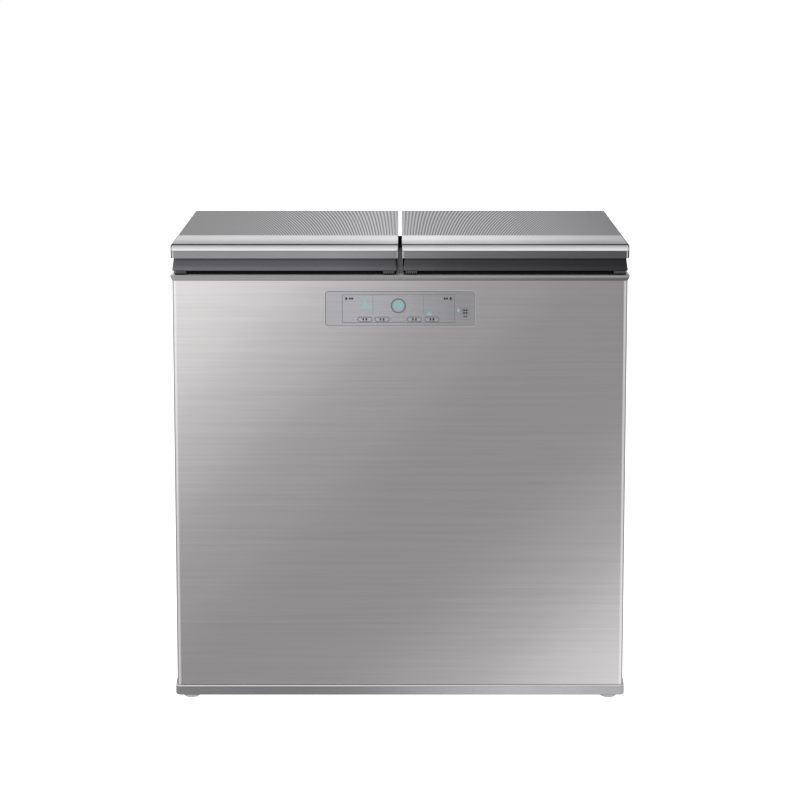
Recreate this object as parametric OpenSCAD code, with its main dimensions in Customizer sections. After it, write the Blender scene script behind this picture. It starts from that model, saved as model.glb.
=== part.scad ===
// Chest-type kimchi refrigerator with two lids, two stepped wells and one cooling unit.
// Millimetres. X is the width, Y the depth with the front at -Y, Z is up from the floor.

/* [Overall] */
// Width over the top frame, the widest piece
body_w = 925; // [905:5:965]
// Depth from the nose of the plinth to the rear spacers
body_d = 740; // [725:5:780]
// Height from the floor to the top of the closed lids
body_h = 940; // [925:5:990]

/* [Cabinet] */
// How far the top frame stands out past the cabinet sheet at each side
frame_proud = 4.5; // [3:0.5:7]
// How far the top frame and the plinth stand out past the front panel
front_proud = 4; // [3:0.5:7]
// Thickness of the outer sheets
sheet_t = 1; // [0.8:0.1:1.4]
// Rounding of the front panel's upright edges
front_r = 6; // [4:1:10]
// Length of the front panel's return round each side
front_return = 28; // [22:1:40]
// Width of the fold at the rear edge of each side panel
side_return = 14; // [10:1:18]
// Space behind the cabinet, taken up by hinge covers and spacers
rear_space = 25; // [23:1:32]

/* [Base] */
// Clear height under the plinth, where only the feet show
foot_gap = 10; // [8:1:13]
// Height of the plinth
plinth_h = 20.5; // [19:0.5:24]
// How far the plinth stands out past the cabinet sheet at each side
plinth_proud = 3.7; // [3:0.1:4.4]
// Wall of the plinth and of the other moulded covers
mould_t = 3; // [2.4:0.2:3.4]
// Thickness of the base pan
pan_t = 2; // [1.5:0.1:2.5]
// Largest diameter of a levelling foot
foot_d = 37.5; // [32:0.5:39]
// Diameter of a levelling foot where it meets the floor
foot_tip_d = 23; // [18:1:28]
// Diameter of the threaded stud of a foot
stud_d = 10; // [8:1:12]
// Distance of the feet from the cabinet's sides
foot_side = 28; // [24:1:50]
// Distance of the feet behind the front panel
foot_inset = 23; // [21:1:40]
// Diameter of a rear roller
roller_d = 26; // [22:1:28]
// Width of a rear roller
roller_w = 16; // [12:1:22]
// Distance of the rollers from the cabinet's sides
roller_side = 58; // [50:1:100]
// Diameter of a roller axle
axle_d = 6; // [5:0.5:8]

/* [Top frame] */
// Height of the top frame's nose
nose_h = 11.7; // [10:0.1:16]
// Thickness of the top frame's plate
frame_t = 2.5; // [2:0.1:3.5]
// Rounding of the top frame and the plinth seen from above
frame_r = 12; // [9:1:18]
// Depth of the lip that holds each liner's edge
lip_h = 16; // [14:1:24]

/* [Wells] */
// Distance from the cabinet's side to a well
side_wall = 78; // [60:1:95]
// Distance from the front panel to the wells
front_wall = 74; // [64:1:95]
// Distance from the back panel to the wells
rear_wall = 70; // [60:1:85]
// Width of the divider between the wells
divider_w = 84; // [74:1:100]
// Wall between the deep part of a well and the machine compartment
deep_wall = 38; // [34:1:60]
// Height of the deep floor above the room's floor
deep_floor = 130; // [115:1:145]
// Height of the rear step's floor above the room's floor
step_floor = 366; // [350:1:420]
// Rounding of the wells seen from above
well_r = 30; // [20:1:40]
// Wall of a liner
liner_t = 1.6; // [1.2:0.1:2.4]

/* [Lids] */
// Width over both lids
lids_w = 921.5; // [900:0.5:924]
// Gap between the two lids
lid_gap = 7; // [5:0.5:12]
// Distance of a lid's front edge behind the nose of the top frame
lid_front = 2; // [0:0.5:5]
// Distance of a lid's rear edge in front of the cabinet's back
lid_rear = 23; // [21:1:32]
// Thickness of a lid
lid_h = 51.8; // [50:0.2:60]
// Height of the dark lower band of a lid
lid_low_h = 25.4; // [25:0.2:28]
// Height of the bright chamfer along a lid's front
bevel_h = 10.2; // [8:0.2:12]
// How far the front chamfer draws in
bevel_in = 7; // [5:0.5:9]
// Width of the fine bevel round a lid's sides and back
edge_in = 1.2; // [0.8:0.1:2.5]
// How far the lower band steps in under the upper one
low_in = 6; // [4:0.5:7]
// Rounding of a lid seen from above
lid_r = 7; // [6.5:0.5:16]
// Length of the plain strip at the front of a lid
strip_l = 186; // [120:1:240]
// Thickness of the patterned top panel
panel_t = 1.5; // [1:0.1:2]
// Depth of the plug that reaches down into a well
plug_h = 22; // [14:1:30]
// Gap all round between a plug and its well
plug_gap = 8; // [6:1:14]
// Height of the gap between a closed lid and the top frame
seal_gap = 8; // [7:0.1:10]
// Width of the lid gasket
gasket_w = 12; // [9:1:13]

/* [Hinges] */
// Distance of each hinge from the middle of its lid
hinge_dx = 140; // [110:1:160]
// Distance of the hinge pin behind a lid's rear edge
pin_back = 13; // [13:0.5:15]
// Height of the hinge pin above a lid's underside
pin_up = 25.8; // [25:0.2:28]
// Diameter of the hinge pin
pin_d = 8; // [6:0.5:9]
// Running clearance between a shaft and its hole
run_gap = 0.05; // [0.02:0.01:0.09]
// Outer radius of an arm's knuckle
knuckle_r = 8; // [7:0.5:9]
// Distance between the inner faces of a bracket's two ears
ear_gap = 56; // [54:1:62]
// Thickness of the hinge bracket
bracket_t = 3; // [2.5:0.1:3.4]
// Height of the hinge bracket
bracket_h = 112; // [80:1:140]
// Mean radius of the counterbalance spring
coil_r = 8.4; // [8:0.1:9]
// Wire of the counterbalance spring
coil_wire = 2.6; // [2:0.1:2.8]
// Turns of the counterbalance spring
coil_turns = 5; // [4:1:5]

/* [Control panel] */
// Width of the control panel
panel_w = 302; // [290:1:330]
// Height of the control panel
panel_h = 71.5; // [68:0.5:80]
// Thickness of the control panel
face_t = 1.4; // [1:0.1:1.8]
// Distance of the control panel's middle below the top of the front panel
panel_drop = 56.5; // [50:0.5:80]
// Length of a pill-shaped button
pill_l = 29.3; // [26:0.1:31]
// Height of a pill-shaped button
pill_h = 10; // [8:0.1:12]
// Width of the square button
lock_w = 15; // [12:0.5:17]
// Height of the square button
lock_h = 14; // [11:0.5:16]
// Travel of a button
press = 0.8; // [0.5:0.1:1]
// How far a button stands out of the panel
button_proud = 0.6; // [0.3:0.1:1]
// Diameter of the round display window's ring
ring_d = 29.8; // [26:0.1:31]
// Depth of the housing behind the control panel
housing_d = 26; // [22:1:36]

/* [Machine compartment] */
// Front-to-back length of the compartment
comp_d = 249; // [245:1:255]
// Height of the compartment's ceiling above the room's floor
comp_top = 300; // [295:1:310]
// Thickness of the rear cover
cover_t = 1.5; // [1.2:0.1:2]
// Distance of the compressor's middle from the cabinet's right side
comp_side = 253; // [240:1:258]
// Diameter of the compressor
comp_pot_d = 170; // [150:1:175]
// Height of the compressor pot
comp_pot_h = 172; // [150:1:185]
// Diameter of the fan
fan_d = 120; // [100:1:124]
// Blades of the fan
fan_blades = 5; // [4:1:7]
// Number of fins on the condenser
fin_count = 20; // [10:1:22]
// Distance from one fin to the next
fin_pitch = 11; // [9:0.5:11]
// Diameter of the evaporator and condenser tubes
tube_d = 8; // [6:0.5:9]
// Diameter of the pipes that join them
pipe_d = 6; // [5:0.5:8]
// Height from one turn of an evaporator tube to the next
evap_pitch = 80; // [76:1:82]

/* [Containers] */
// Gap all round between a container's lid and its well
box_gap = 5; // [4:0.5:8]
// Height of a container without its lid
box_h = 205; // [150:1:210]
// Wall of a container
box_t = 2.5; // [2:0.1:3.5]

/* [Hidden] */
$fn = 64;

rest_gap = 0.3; // between neighbours that only rest or lie close
eps = 0.01;     // run-through of a cut past a face

// Heights, from the floor up
cab_z0 = foot_gap + plinth_h;
pan_z = cab_z0 + pan_t;
lid_z0 = body_h - lid_h;
frame_z1 = lid_z0 - seal_gap;
cab_z1 = frame_z1 - nose_h;
band_z = lid_z0 + lid_low_h;
bevel_z = body_h - bevel_h;

// Widths and depths
half_w = body_w / 2 - frame_proud;
nose_y = -body_d / 2;
front_y = nose_y + front_proud;
back_y = body_d / 2 - rear_space;
cab_d = back_y - front_y;
bulk_y = back_y - comp_d;
foot_x = half_w - foot_side;
roller_x = half_w - roller_side;

// Wells
well_x0 = divider_w / 2;
well_x1 = half_w - side_wall;
well_w = well_x1 - well_x0;
well_cx = (well_x0 + well_x1) / 2;
well_y0 = front_y + front_wall;
well_y1 = back_y - rear_wall;
well_d = well_y1 - well_y0;
well_cy = (well_y0 + well_y1) / 2;
deep_l = bulk_y - deep_wall - well_y0;
deep_cy = well_y0 + deep_l / 2;

// Lids
lid_x0 = lid_gap / 2;
lid_w = lids_w / 2 - lid_x0;
lid_cx = lid_x0 + lid_w / 2;
lid_y0 = nose_y + lid_front;
lid_y1 = back_y - lid_rear;
lid_d = lid_y1 - lid_y0;
lid_cy = lid_y0 + lid_d / 2;
pin_y = lid_y1 + pin_back;
pin_z = lid_z0 + pin_up;
skin = 3;                 // wall of the lid mouldings
top_t = 4;                // thickness of the lid cover's top
flange_w = 24;            // foot of the lid frame that carries the gasket
rim = 1.6;                // edge of the cover round the top panel
strap_t = 4;
strap_z = pin_z - coil_r + coil_wire / 2 + rest_gap;
coil_pitch = coil_wire + 1;
coil_x0 = ear_gap / 2 - 3 - coil_turns * coil_pitch - coil_wire / 2;
knuckle_x0 = -ear_gap / 2 + rest_gap;
knuckle_x1 = coil_x0 - coil_wire / 2 - 1;

// Control panel
panel_z = cab_z1 - panel_drop;
hole_gap = 0.35;          // round a button in the panel
flange_t = 1.2;
board_y = front_y + housing_d - 8;
pill_drop = 21.7;         // of the pill buttons' middles below the panel's middle
pill_x = [-70.7, -36.1, 29.1, 64.3];
lock_at = [131.3, -5.9];
ring_at = [-3.3, 5.9];

// Base pan: clearance inside the sheets, nuts for the feet, rails under the compressor
pan_gap = 0.1;
nut_h = 10;
weld_t = 0.1;
rail_l = 220;
rail_w = 28;
rail_t = 3;
rail_dy = 70;

// Machine compartment
comp_cx = half_w - comp_side;
comp_cy = (bulk_y + back_y) / 2;
mount_h = 18;
pot_z0 = pan_z + mount_h + rail_t;
fan_x = -20;
fan_y = comp_cy;
fan_z = pan_z + 128;
fin_z0 = pan_z + 22;
fin_l = (fin_count - 1) * fin_pitch;
fin_x0 = -75 - fin_l;
fin_rows = 4;
fin_step = 28;
fin_y = [comp_cy - 22, comp_cy + 22];

// Evaporators: an even number of turns, so that both ends leave at the outer side
evap_runs = 8;
evap_r = well_r + liner_t + tube_d / 2 + 0.1;
evap_off = liner_t + tube_d / 2 + 0.1;
evap_z0 = deep_floor + 45;
evap_y1 = well_y0 + deep_l - 28;
evap_ret_y = evap_y1 + tube_d + 12;
evap_ret_z = evap_z0 + 40;

// Containers
box_z0 = deep_floor + rest_gap;
box_w = well_w - 2 * box_gap;
box_l = deep_l - 2 * box_gap;
box_r = well_r - box_gap;
rim_in = 3 + rest_gap;

// Colours
steel_grey = "#b3b1ae";
frame_grey = "#8f8f90";
dark_grey = "#5f6061";
light_grey = "#c9cacb";
zinc = "#a9adb0";

// ---------------------------------------------------------------- helpers

// Rounded rectangle about the origin
module rr(w, d, r) {
  square([w - 2 * r, d], center = true);
  square([w, d - 2 * r], center = true);
  for (x = [-1, 1], y = [-1, 1]) translate([x * (w / 2 - r), y * (d / 2 - r)]) circle(r);
}

// Upright block of a rounded rectangle
module rbox(w, d, r, h) { linear_extrude(h) rr(w, d, r); }

// Block whose edge follows a profile: points of [outward step, height], from the bottom up
module slab(w, d, r, edge) {
  z0 = edge[0][1];
  z1 = edge[len(edge) - 1][1];
  for (q = [0 : 3])
    translate([(q == 0 || q == 3 ? 1 : -1) * (w / 2 - r), (q < 2 ? 1 : -1) * (d / 2 - r), 0])
      rotate(q * 90) rotate_extrude(angle = 90)
        polygon(concat([[0, z0]], [for (p = edge) [r + p[0], p[1]]], [[0, z1]]));
  for (q = [0, 1]) {
    run = q == 0 ? d - 2 * r : w - 2 * r;
    half = q == 0 ? w / 2 : d / 2;
    rotate(q * 90) rotate([90, 0, 0]) linear_extrude(run, center = true)
      polygon(concat([for (p = edge) [half + p[0], p[1]]],
        [for (i = [len(edge) - 1 : -1 : 0]) [-half - edge[i][0], edge[i][1]]]));
  }
}

// Points of an arc, in degrees
function arc(c, r, a0, a1, n) =
  [for (i = [0 : n]) let (a = a0 + (a1 - a0) * i / n) [c[0] + r * cos(a), c[1] + r * sin(a)]];

// Cylinders along X and along Y
module rod_x(r, h) { rotate([0, 90, 0]) cylinder(r = r, h = h); }
module rod_y(r, h) { rotate([-90, 0, 0]) cylinder(r = r, h = h); }

// Tube along points joined by square turns, each turn a bend of radius r
module pipe(pts, d, r) {
  n = len(pts);
  for (i = [0 : n - 2]) {
    v = pts[i + 1] - pts[i];
    l = norm(v);
    a = i == 0 ? 0 : r;
    b = i == n - 2 ? 0 : r;
    if (l - a - b > eps) translate(pts[i] + v / l * a) aim(v / l) cylinder(d = d, h = l - a - b);
  }
  if (n > 2) for (i = [1 : n - 2]) {
    u = (pts[i] - pts[i - 1]) / norm(pts[i] - pts[i - 1]);
    w = (pts[i + 1] - pts[i]) / norm(pts[i + 1] - pts[i]);
    c = pts[i] - u * r + w * r;
    k = cross(-w, u);
    multmatrix([[-w[0], u[0], k[0], c[0]], [-w[1], u[1], k[1], c[1]], [-w[2], u[2], k[2], c[2]]])
      rotate_extrude(angle = 90) translate([r, 0]) circle(d = d);
  }
}

// Turns +Z to one of the six main directions
module aim(v) {
  if (v[2] > 0.5) children();
  else if (v[2] < -0.5) rotate([180, 0, 0]) children();
  else if (abs(v[0]) > 0.5) rotate([0, v[0] > 0 ? 90 : -90, 0]) children();
  else rotate([v[1] > 0 ? -90 : 90, 0, 0]) children();
}

// Children on the right and, mirrored, on the left
module both() { children(); mirror([1, 0, 0]) children(); }

// Children at the middle of each of the four hinges
module at_hinges() {
  both() for (s = [-1, 1]) translate([lid_cx + s * hinge_dx, 0, 0]) children();
}

// ---------------------------------------------------------------- cabinet shell

// Plan of the cabinet from the front corners to a given depth, taken in by a step
module cab_plan(step, depth) {
  intersection() {
    translate([0, front_y + cab_d / 2]) rr(2 * half_w - 2 * step, cab_d - 2 * step, front_r - step);
    translate([-half_w, front_y - 1]) square([2 * half_w, depth + 1]);
  }
}

module front_panel() color(steel_grey) difference() {
  translate([0, 0, cab_z0]) linear_extrude(cab_z1 - cab_z0) difference() {
    cab_plan(0, front_return);
    cab_plan(sheet_t, front_return + 1);
  }
  translate([0, front_y + sheet_t + 1, panel_z]) rotate([90, 0, 0]) rbox(panel_w - 14, panel_h - 10, 4, sheet_t + 2);
}

module side_panel() {
  y0 = front_y + front_return;
  translate([0, 0, cab_z0]) linear_extrude(cab_z1 - cab_z0) {
    translate([half_w - sheet_t, y0]) square([sheet_t, back_y - y0]);
    translate([half_w - side_return, back_y - sheet_t]) square([side_return, sheet_t]);
  }
}
module right_side_panel() color(frame_grey) side_panel();
module left_side_panel() color(frame_grey) mirror([1, 0, 0]) side_panel();

// Back sheet above the compartment, with two pressed frames that stiffen it
press_margin = 60;
module back_panel() color(zinc) {
  w = 2 * (half_w - side_return);
  z0 = comp_top;
  translate([-w / 2, back_y - sheet_t, z0]) cube([w, sheet_t, cab_z1 - z0]);
  press_h = cab_z1 - bracket_h - z0 - 2 * press_margin;
  both() translate([w / 4, back_y, z0 + press_margin + press_h / 2]) rotate([-90, 0, 0])
    difference() {
      slab(w / 2 - press_margin, press_h, 30, [[0, 0], [-3, 2]]);
      translate([0, 0, -1]) rbox(w / 2 - press_margin - 30, press_h - 30, 18, 4);
    }
}

// Sheet between the insulation and the compartment
module bulkhead() color(zinc) difference() {
  w = 2 * (half_w - sheet_t);
  union() {
    translate([-w / 2, bulk_y, pan_z]) cube([w, sheet_t, comp_top - pan_z]);
    translate([-w / 2, bulk_y, comp_top - sheet_t]) cube([w, comp_d - sheet_t, sheet_t]);
  }
  both() for (z = [evap_z0, evap_ret_z])
    translate([well_x1 + evap_off, bulk_y - 1, z]) rod_y(tube_d / 2 + 0.5, sheet_t + 2);
}

module base_pan() color(zinc) difference() {
  union() {
    translate([0, 0, cab_z0]) linear_extrude(pan_t) cab_plan(sheet_t + pan_gap, cab_d - sheet_t);
    // weld nuts under the sheet, standing on the thickness of their welds
    both() translate([foot_x, front_y + foot_inset, cab_z0 - nut_h]) cylinder(d = stud_d + 8, h = nut_h - weld_t);
    // rails that carry the compressor
    for (s = [-1, 1]) translate([comp_cx - rail_l / 2, comp_cy + s * rail_dy - rail_w / 2, pan_z - eps])
      cube([rail_l, rail_w, rail_t]);
  }
  both() translate([foot_x, front_y + foot_inset, cab_z0 - nut_h - 1])
    cylinder(r = stud_d / 2 + run_gap, h = 2 * nut_h);
}

// Moulded base trim round the front and the sides, with a lip that laps up over each side panel
module plinth() color(frame_grey) difference() {
  d = back_y - nose_y;
  cy = nose_y + d / 2;
  w = 2 * (half_w + plinth_proud);
  union() {
    translate([0, cy, 0]) slab(w, d, frame_r, [[-1.5, foot_gap], [0, foot_gap + 2], [0, cab_z0 - 5],
      [-0.8, cab_z0 - 4.2], [-0.8, cab_z0 - 3.4], [0, cab_z0 - 2.6], [-1.8, cab_z0]]);
    both() translate([0, back_y, 0]) rotate([90, 0, 0]) linear_extrude(d - frame_r - 6)
      polygon([[half_w, cab_z0 - 6], [half_w + plinth_proud - 0.1, cab_z0 - 6], [half_w + plinth_proud - 0.1, cab_z0 - 1],
        [half_w + plinth_proud - 1, cab_z0 + 3], [half_w + 0.8, cab_z0 + 12], [half_w, cab_z0 + 12]]);
  }
  translate([0, cy, foot_gap - 1]) rbox(w - 2 * mould_t, d - 2 * mould_t, frame_r - mould_t, plinth_h - 1.5);
  translate([0, cy, foot_gap - 1]) rbox(w - 2 * mould_t - 20, d - 2 * mould_t - 20, 4, plinth_h + 2);
  translate([-half_w + 12, back_y - 30, foot_gap - 1]) cube([2 * half_w - 24, 40, plinth_h + 14]);
  // the cabinet's own space, so that the lips lie outside it
  translate([-half_w, front_y, cab_z0]) cube([2 * half_w, cab_d + 1, 20]);
}

// Moulded frame that joins the outer sheets to the liners
module top_frame() color(frame_grey) difference() {
  d = back_y - nose_y + frame_proud;
  cy = nose_y + d / 2;
  union() {
    difference() {
      translate([0, cy, 0]) slab(body_w, d, frame_r, concat([[-frame_proud + 0.6, cab_z1], [-1.2, cab_z1 + 4.6]],
        arc([-3, frame_z1 - 3.2], 3, -30, 90, 4), [[-4.2, frame_z1]]));
      translate([0, front_y + cab_d / 2, cab_z1 - 1])
        rbox(2 * half_w - 14, cab_d - 14, 8, nose_h - frame_t + 1);
    }
    both() translate([well_cx, well_cy, frame_z1 - lip_h])
      rbox(well_w + 2 * liner_t + 7, well_d + 2 * liner_t + 7, well_r + 5, lip_h - eps);
  }
  // the wells: narrower above, with a step below that the liner's edge stands in
  both() translate([well_cx, well_cy, 0]) {
    translate([0, 0, frame_z1 - lip_h - 1]) rbox(well_w, well_d, well_r, lip_h + 2);
    translate([0, 0, frame_z1 - lip_h - 1])
      rbox(well_w + 2 * liner_t, well_d + 2 * liner_t, well_r + liner_t, lip_h - frame_t + 1);
  }
  translate([-body_w, back_y, cab_z1 - 5]) cube([2 * body_w, 40, nose_h + 10]);
}

// Soft pads that the lids come down on
module lid_bumpers() color(dark_grey) both() for (x = [lid_x0 + 8, lids_w / 2 - 31])
  translate([x, lid_y0 + 1.5, frame_z1]) difference() {
    cube([22, 8, seal_gap - rest_gap]);
    for (i = [0 : 4]) translate([2 + i * 4, -1, -1]) cube([2, 2, seal_gap + 2]);
  }

// ---------------------------------------------------------------- wells

// Space of one right-hand well, grown outwards by a wall
module well_space(wall, top) {
  translate([well_cx, well_cy, step_floor - wall])
    rbox(well_w + 2 * wall, well_d + 2 * wall, well_r + wall, top - step_floor + wall);
  translate([well_cx, deep_cy, deep_floor - wall])
    rbox(well_w + 2 * wall, deep_l + 2 * wall, well_r + wall, step_floor - deep_floor + wall);
}

drain_at = [well_cx, well_y0 + 60];
module liner() difference() {
  well_space(liner_t, frame_z1 - frame_t);
  well_space(0, frame_z1 + 1);
  translate([drain_at[0], drain_at[1], deep_floor - liner_t - 1]) cylinder(r = 14, h = liner_t + 2);
}
module right_liner() color("#e6e7e6") liner();
module left_liner() color("#e6e7e6") mirror([1, 0, 0]) liner();

// Plug with a finger bar that closes the drain in each deep floor
module drain_plugs() color("#d5d6d6") both() translate([drain_at[0], drain_at[1], deep_floor]) {
  translate([0, 0, -26]) cylinder(r1 = 11, r2 = 13.8, h = 26 - 2);
  translate([0, 0, -2 - eps]) cylinder(r = 13.8, h = 2 - 0.5);
}

// Tube wound back and forth round the front and the sides of the deep part
function evap_side(i) = i % 2 == 0 ? [well_x1 + evap_off, well_x0 - evap_off] : [well_x0 - evap_off, well_x1 + evap_off];
evap_y0 = well_y0 - evap_off;
evap_path = concat([[well_x1 + evap_off, bulk_y + 14, evap_z0]],
  [for (i = [0 : evap_runs - 1], j = [0 : 3]) let (z = evap_z0 + i * evap_pitch, x = evap_side(i)[j < 2 ? 0 : 1])
    if (!(i == 0 && j == 0) && !(i == evap_runs - 1 && j == 3)) [x, j == 0 || j == 3 ? evap_y1 : evap_y0, z]],
  [[well_x1 + evap_off, evap_ret_y, evap_z0 + (evap_runs - 1) * evap_pitch],
   [well_x1 + evap_off, evap_ret_y, evap_ret_z], [well_x1 + evap_off, bulk_y + 14, evap_ret_z]]);
module evaporator() pipe(evap_path, tube_d, evap_r);
module right_evaporator() color("#b87f52") evaporator();
module left_evaporator() color("#b87f52") mirror([1, 0, 0]) evaporator();

// Space that the evaporator takes out of the insulation
module evap_space() {
  g = tube_d + 0.4;
  z_top = evap_z0 + (evap_runs - 1) * evap_pitch;
  x_out = well_x1 + liner_t;
  for (i = [0 : evap_runs - 1])
    translate([well_cx, (evap_y0 - g / 2 + evap_y1 + g / 2) / 2, evap_z0 + i * evap_pitch - g / 2])
      rbox(well_w + 2 * liner_t + 2 * g, evap_y1 - evap_y0 + g, 20, g);
  translate([x_out - 1, evap_y1 - evap_r - g, evap_ret_z - g]) cube([g + 1, evap_ret_y - evap_y1 + evap_r + 1.5 * g, z_top - evap_ret_z + 1.5 * g]);
  translate([well_x0 - liner_t - g, evap_y1 - evap_r - g, evap_z0 - g / 2]) cube([g + 1, evap_r + 1.5 * g, z_top - evap_z0 + g]);
  for (z = [evap_z0, evap_ret_z]) translate([x_out - 1, evap_y1 - 10, z - g / 2]) cube([g + 1, bulk_y - evap_y1 + 20, g]);
  translate([x_out - 1, evap_ret_y - g, evap_ret_z - g / 2]) cube([g + 1, bulk_y - evap_ret_y + g + 1, evap_r + g]);
}

sensor = [8, 20, 36];
module sensor_place() translate([well_x0 - liner_t - sensor[0], well_y1 - 90, step_floor + 150]) children();
module temperature_sensors() color("#2f3134") both() sensor_place() cube(sensor);

module foam_insulation() color("#e9dcae") difference() {
  translate([0, 0, pan_z]) linear_extrude(frame_z1 - frame_t - pan_z) cab_plan(sheet_t, cab_d - sheet_t);
  translate([-half_w, bulk_y, 0]) cube([2 * half_w, comp_d + 1, comp_top]);
  both() {
    well_space(liner_t, frame_z1);
    evap_space();
    sensor_place() cube(sensor);
    translate([drain_at[0], drain_at[1], deep_floor - 40]) cylinder(r = 14, h = 40);
    translate([well_cx, well_cy, frame_z1 - lip_h])
      rbox(well_w + 2 * liner_t + 7, well_d + 2 * liner_t + 7, well_r + 5, lip_h);
  }
  // under the top frame's nose
  translate([0, front_y + cab_d / 2, cab_z1]) difference() {
    rbox(body_w + 20, cab_d + 20, 8, nose_h);
    translate([0, 0, -1]) rbox(2 * half_w - 14, cab_d - 14, 8, nose_h + 2);
  }
  translate([0, front_y, panel_z]) rotate([-90, 0, 0]) {
    rbox(housing_w, housing_h, 4, housing_d + sheet_t);
    rbox(panel_w - 14, panel_h - 10, 4, 5.3);
  }
}

// ---------------------------------------------------------------- machine compartment

comp_holes = [for (x = [-1, 1], y = [-1, 1]) [comp_cx + x * 80, comp_cy + y * rail_dy]];

// Welded pot in two halves, with its foot plate, terminal box and two stubs
module compressor() color("#2b2c2e") {
  r = comp_pot_d / 2;
  h = comp_pot_h;
  translate([comp_cx, comp_cy, pot_z0]) {
    rotate_extrude() polygon(concat([[0, 0]], arc([r - 34, 34], 33, -90, 0, 8), [[r - 1, h * 0.52],
      [r + 2.5, h * 0.52], [r + 2.5, h * 0.55], [r - 2, h * 0.55]], arc([r - 44, h - 42], 42, 0, 90, 8), [[0, h]]));
    difference() {
      translate([0, 0, -3]) rbox(190, 168, 16, 3 + eps);
      for (p = comp_holes) translate([p[0] - comp_cx, p[1] - comp_cy, -5]) cylinder(r = 8 + run_gap, h = 8);
    }
    translate([-r - 26, -30, 50]) cube([40, 60, 62]);
  }
}

// Rubber grommets between the compressor's foot plate and the rails
module compressor_mounts() color("#1d1e1f") for (p = comp_holes) translate([p[0], p[1], pan_z + rail_t]) {
  rotate_extrude() polygon([[3, 0], [13, 0], [13, 4], [11, 7], [13, 10], [13, mount_h - 3], [8, mount_h - 3],
    [8, mount_h + 1], [11, mount_h + 1.5], [9, mount_h + 6], [3, mount_h + 6]]);
}

fin_top = fin_z0 + (fin_rows - 1) * fin_step;

// Finned serpentine standing on two end plates
module condenser() color("#9a9ea1") {
  for (i = [0 : fin_count - 1]) {
    end = i == 0 || i == fin_count - 1;
    z0 = end ? pan_z : fin_z0 - 14;
    translate([fin_x0 + i * fin_pitch - 0.5, fin_y[0] - 16, z0]) cube([1, fin_y[1] - fin_y[0] + 32, fin_top + 14 - z0]);
  }
  for (c = [0, 1], k = [0 : fin_rows - 1])
    translate([fin_x0 - 16, fin_y[c], fin_z0 + k * fin_step]) rod_x(tube_d / 2, fin_l + 32);
  // return bends at the ends
  for (c = [0, 1], k = [0 : fin_rows - 2]) {
    left = k % 2 == 1;
    translate([left ? fin_x0 - 16 : fin_x0 + fin_l + 16, fin_y[c], fin_z0 + (k + 0.5) * fin_step])
      rotate([90, 0, 0]) rotate(left ? 90 : -90) rotate_extrude(angle = 180) translate([fin_step / 2, 0]) circle(d = tube_d);
  }
  translate([fin_x0 - 16, comp_cy, fin_top]) rotate(90) rotate_extrude(angle = 180)
    translate([(fin_y[1] - fin_y[0]) / 2, 0]) circle(d = tube_d);
}

// Pipes: hot gas to the condenser, through the drier to both evaporators, and back to the compressor
pipe_r = 2.5 * pipe_d;
cond_x = fin_x0 - 16;
evap_x = well_x1 + evap_off;
evap_end = bulk_y + 14;
drier_at = [cond_x - 50, fin_y[0], fin_z0 + 26];
drier_h = 100;
module refrigerant_lines() color("#b06f45") {
  stub_z = pot_z0 + comp_pot_h * 0.7;
  hot_x = comp_cx + comp_pot_d / 2 + 24;
  hot_y = back_y - 12;
  feed_y = evap_end + 40;
  feed_z = comp_top - 35;
  back_line_y = evap_end + 17;
  back_line_z = comp_top - 15;
  // hot gas
  pipe([[comp_cx + comp_pot_d / 2 - 4, comp_cy, stub_z], [hot_x, comp_cy, stub_z], [hot_x, hot_y, stub_z],
    [hot_x, hot_y, fin_z0], [cond_x - 34, hot_y, fin_z0], [cond_x - 34, fin_y[1], fin_z0], [cond_x, fin_y[1], fin_z0]],
    pipe_d, pipe_r);
  // condenser to drier
  pipe([[cond_x, fin_y[0], fin_z0], [drier_at[0], drier_at[1], fin_z0], [drier_at[0], drier_at[1], drier_at[2] + 1]],
    pipe_d, pipe_r);
  translate(drier_at) rotate_extrude() polygon([[0, 0], [pipe_d / 2 + 1, 0], [11, 12], [11, drier_h - 12],
    [pipe_d / 2 + 1, drier_h], [0, drier_h]]);
  // feeds
  top = drier_at + [0, 0, drier_h - 1];
  pipe([top, [top[0], top[1], feed_z - 22], [-evap_x, top[1], feed_z - 22], [-evap_x, top[1], evap_z0],
    [-evap_x, evap_end, evap_z0]], pipe_d, pipe_r);
  pipe([top, [top[0], top[1], feed_z], [top[0], feed_y, feed_z], [evap_x, feed_y, feed_z], [evap_x, feed_y, evap_z0],
    [evap_x, evap_end, evap_z0]], pipe_d, pipe_r);
  // returns
  for (s = [-1, 1]) pipe([[s * evap_x, evap_end, evap_ret_z], [s * evap_x, back_line_y, evap_ret_z],
    [s * evap_x, back_line_y, back_line_z], [comp_cx + s * 15, back_line_y, back_line_z],
    [comp_cx + s * 15, comp_cy, back_line_z], [comp_cx + s * 15, comp_cy, pot_z0 + comp_pot_h - 2]], pipe_d, pipe_r);
}

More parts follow.
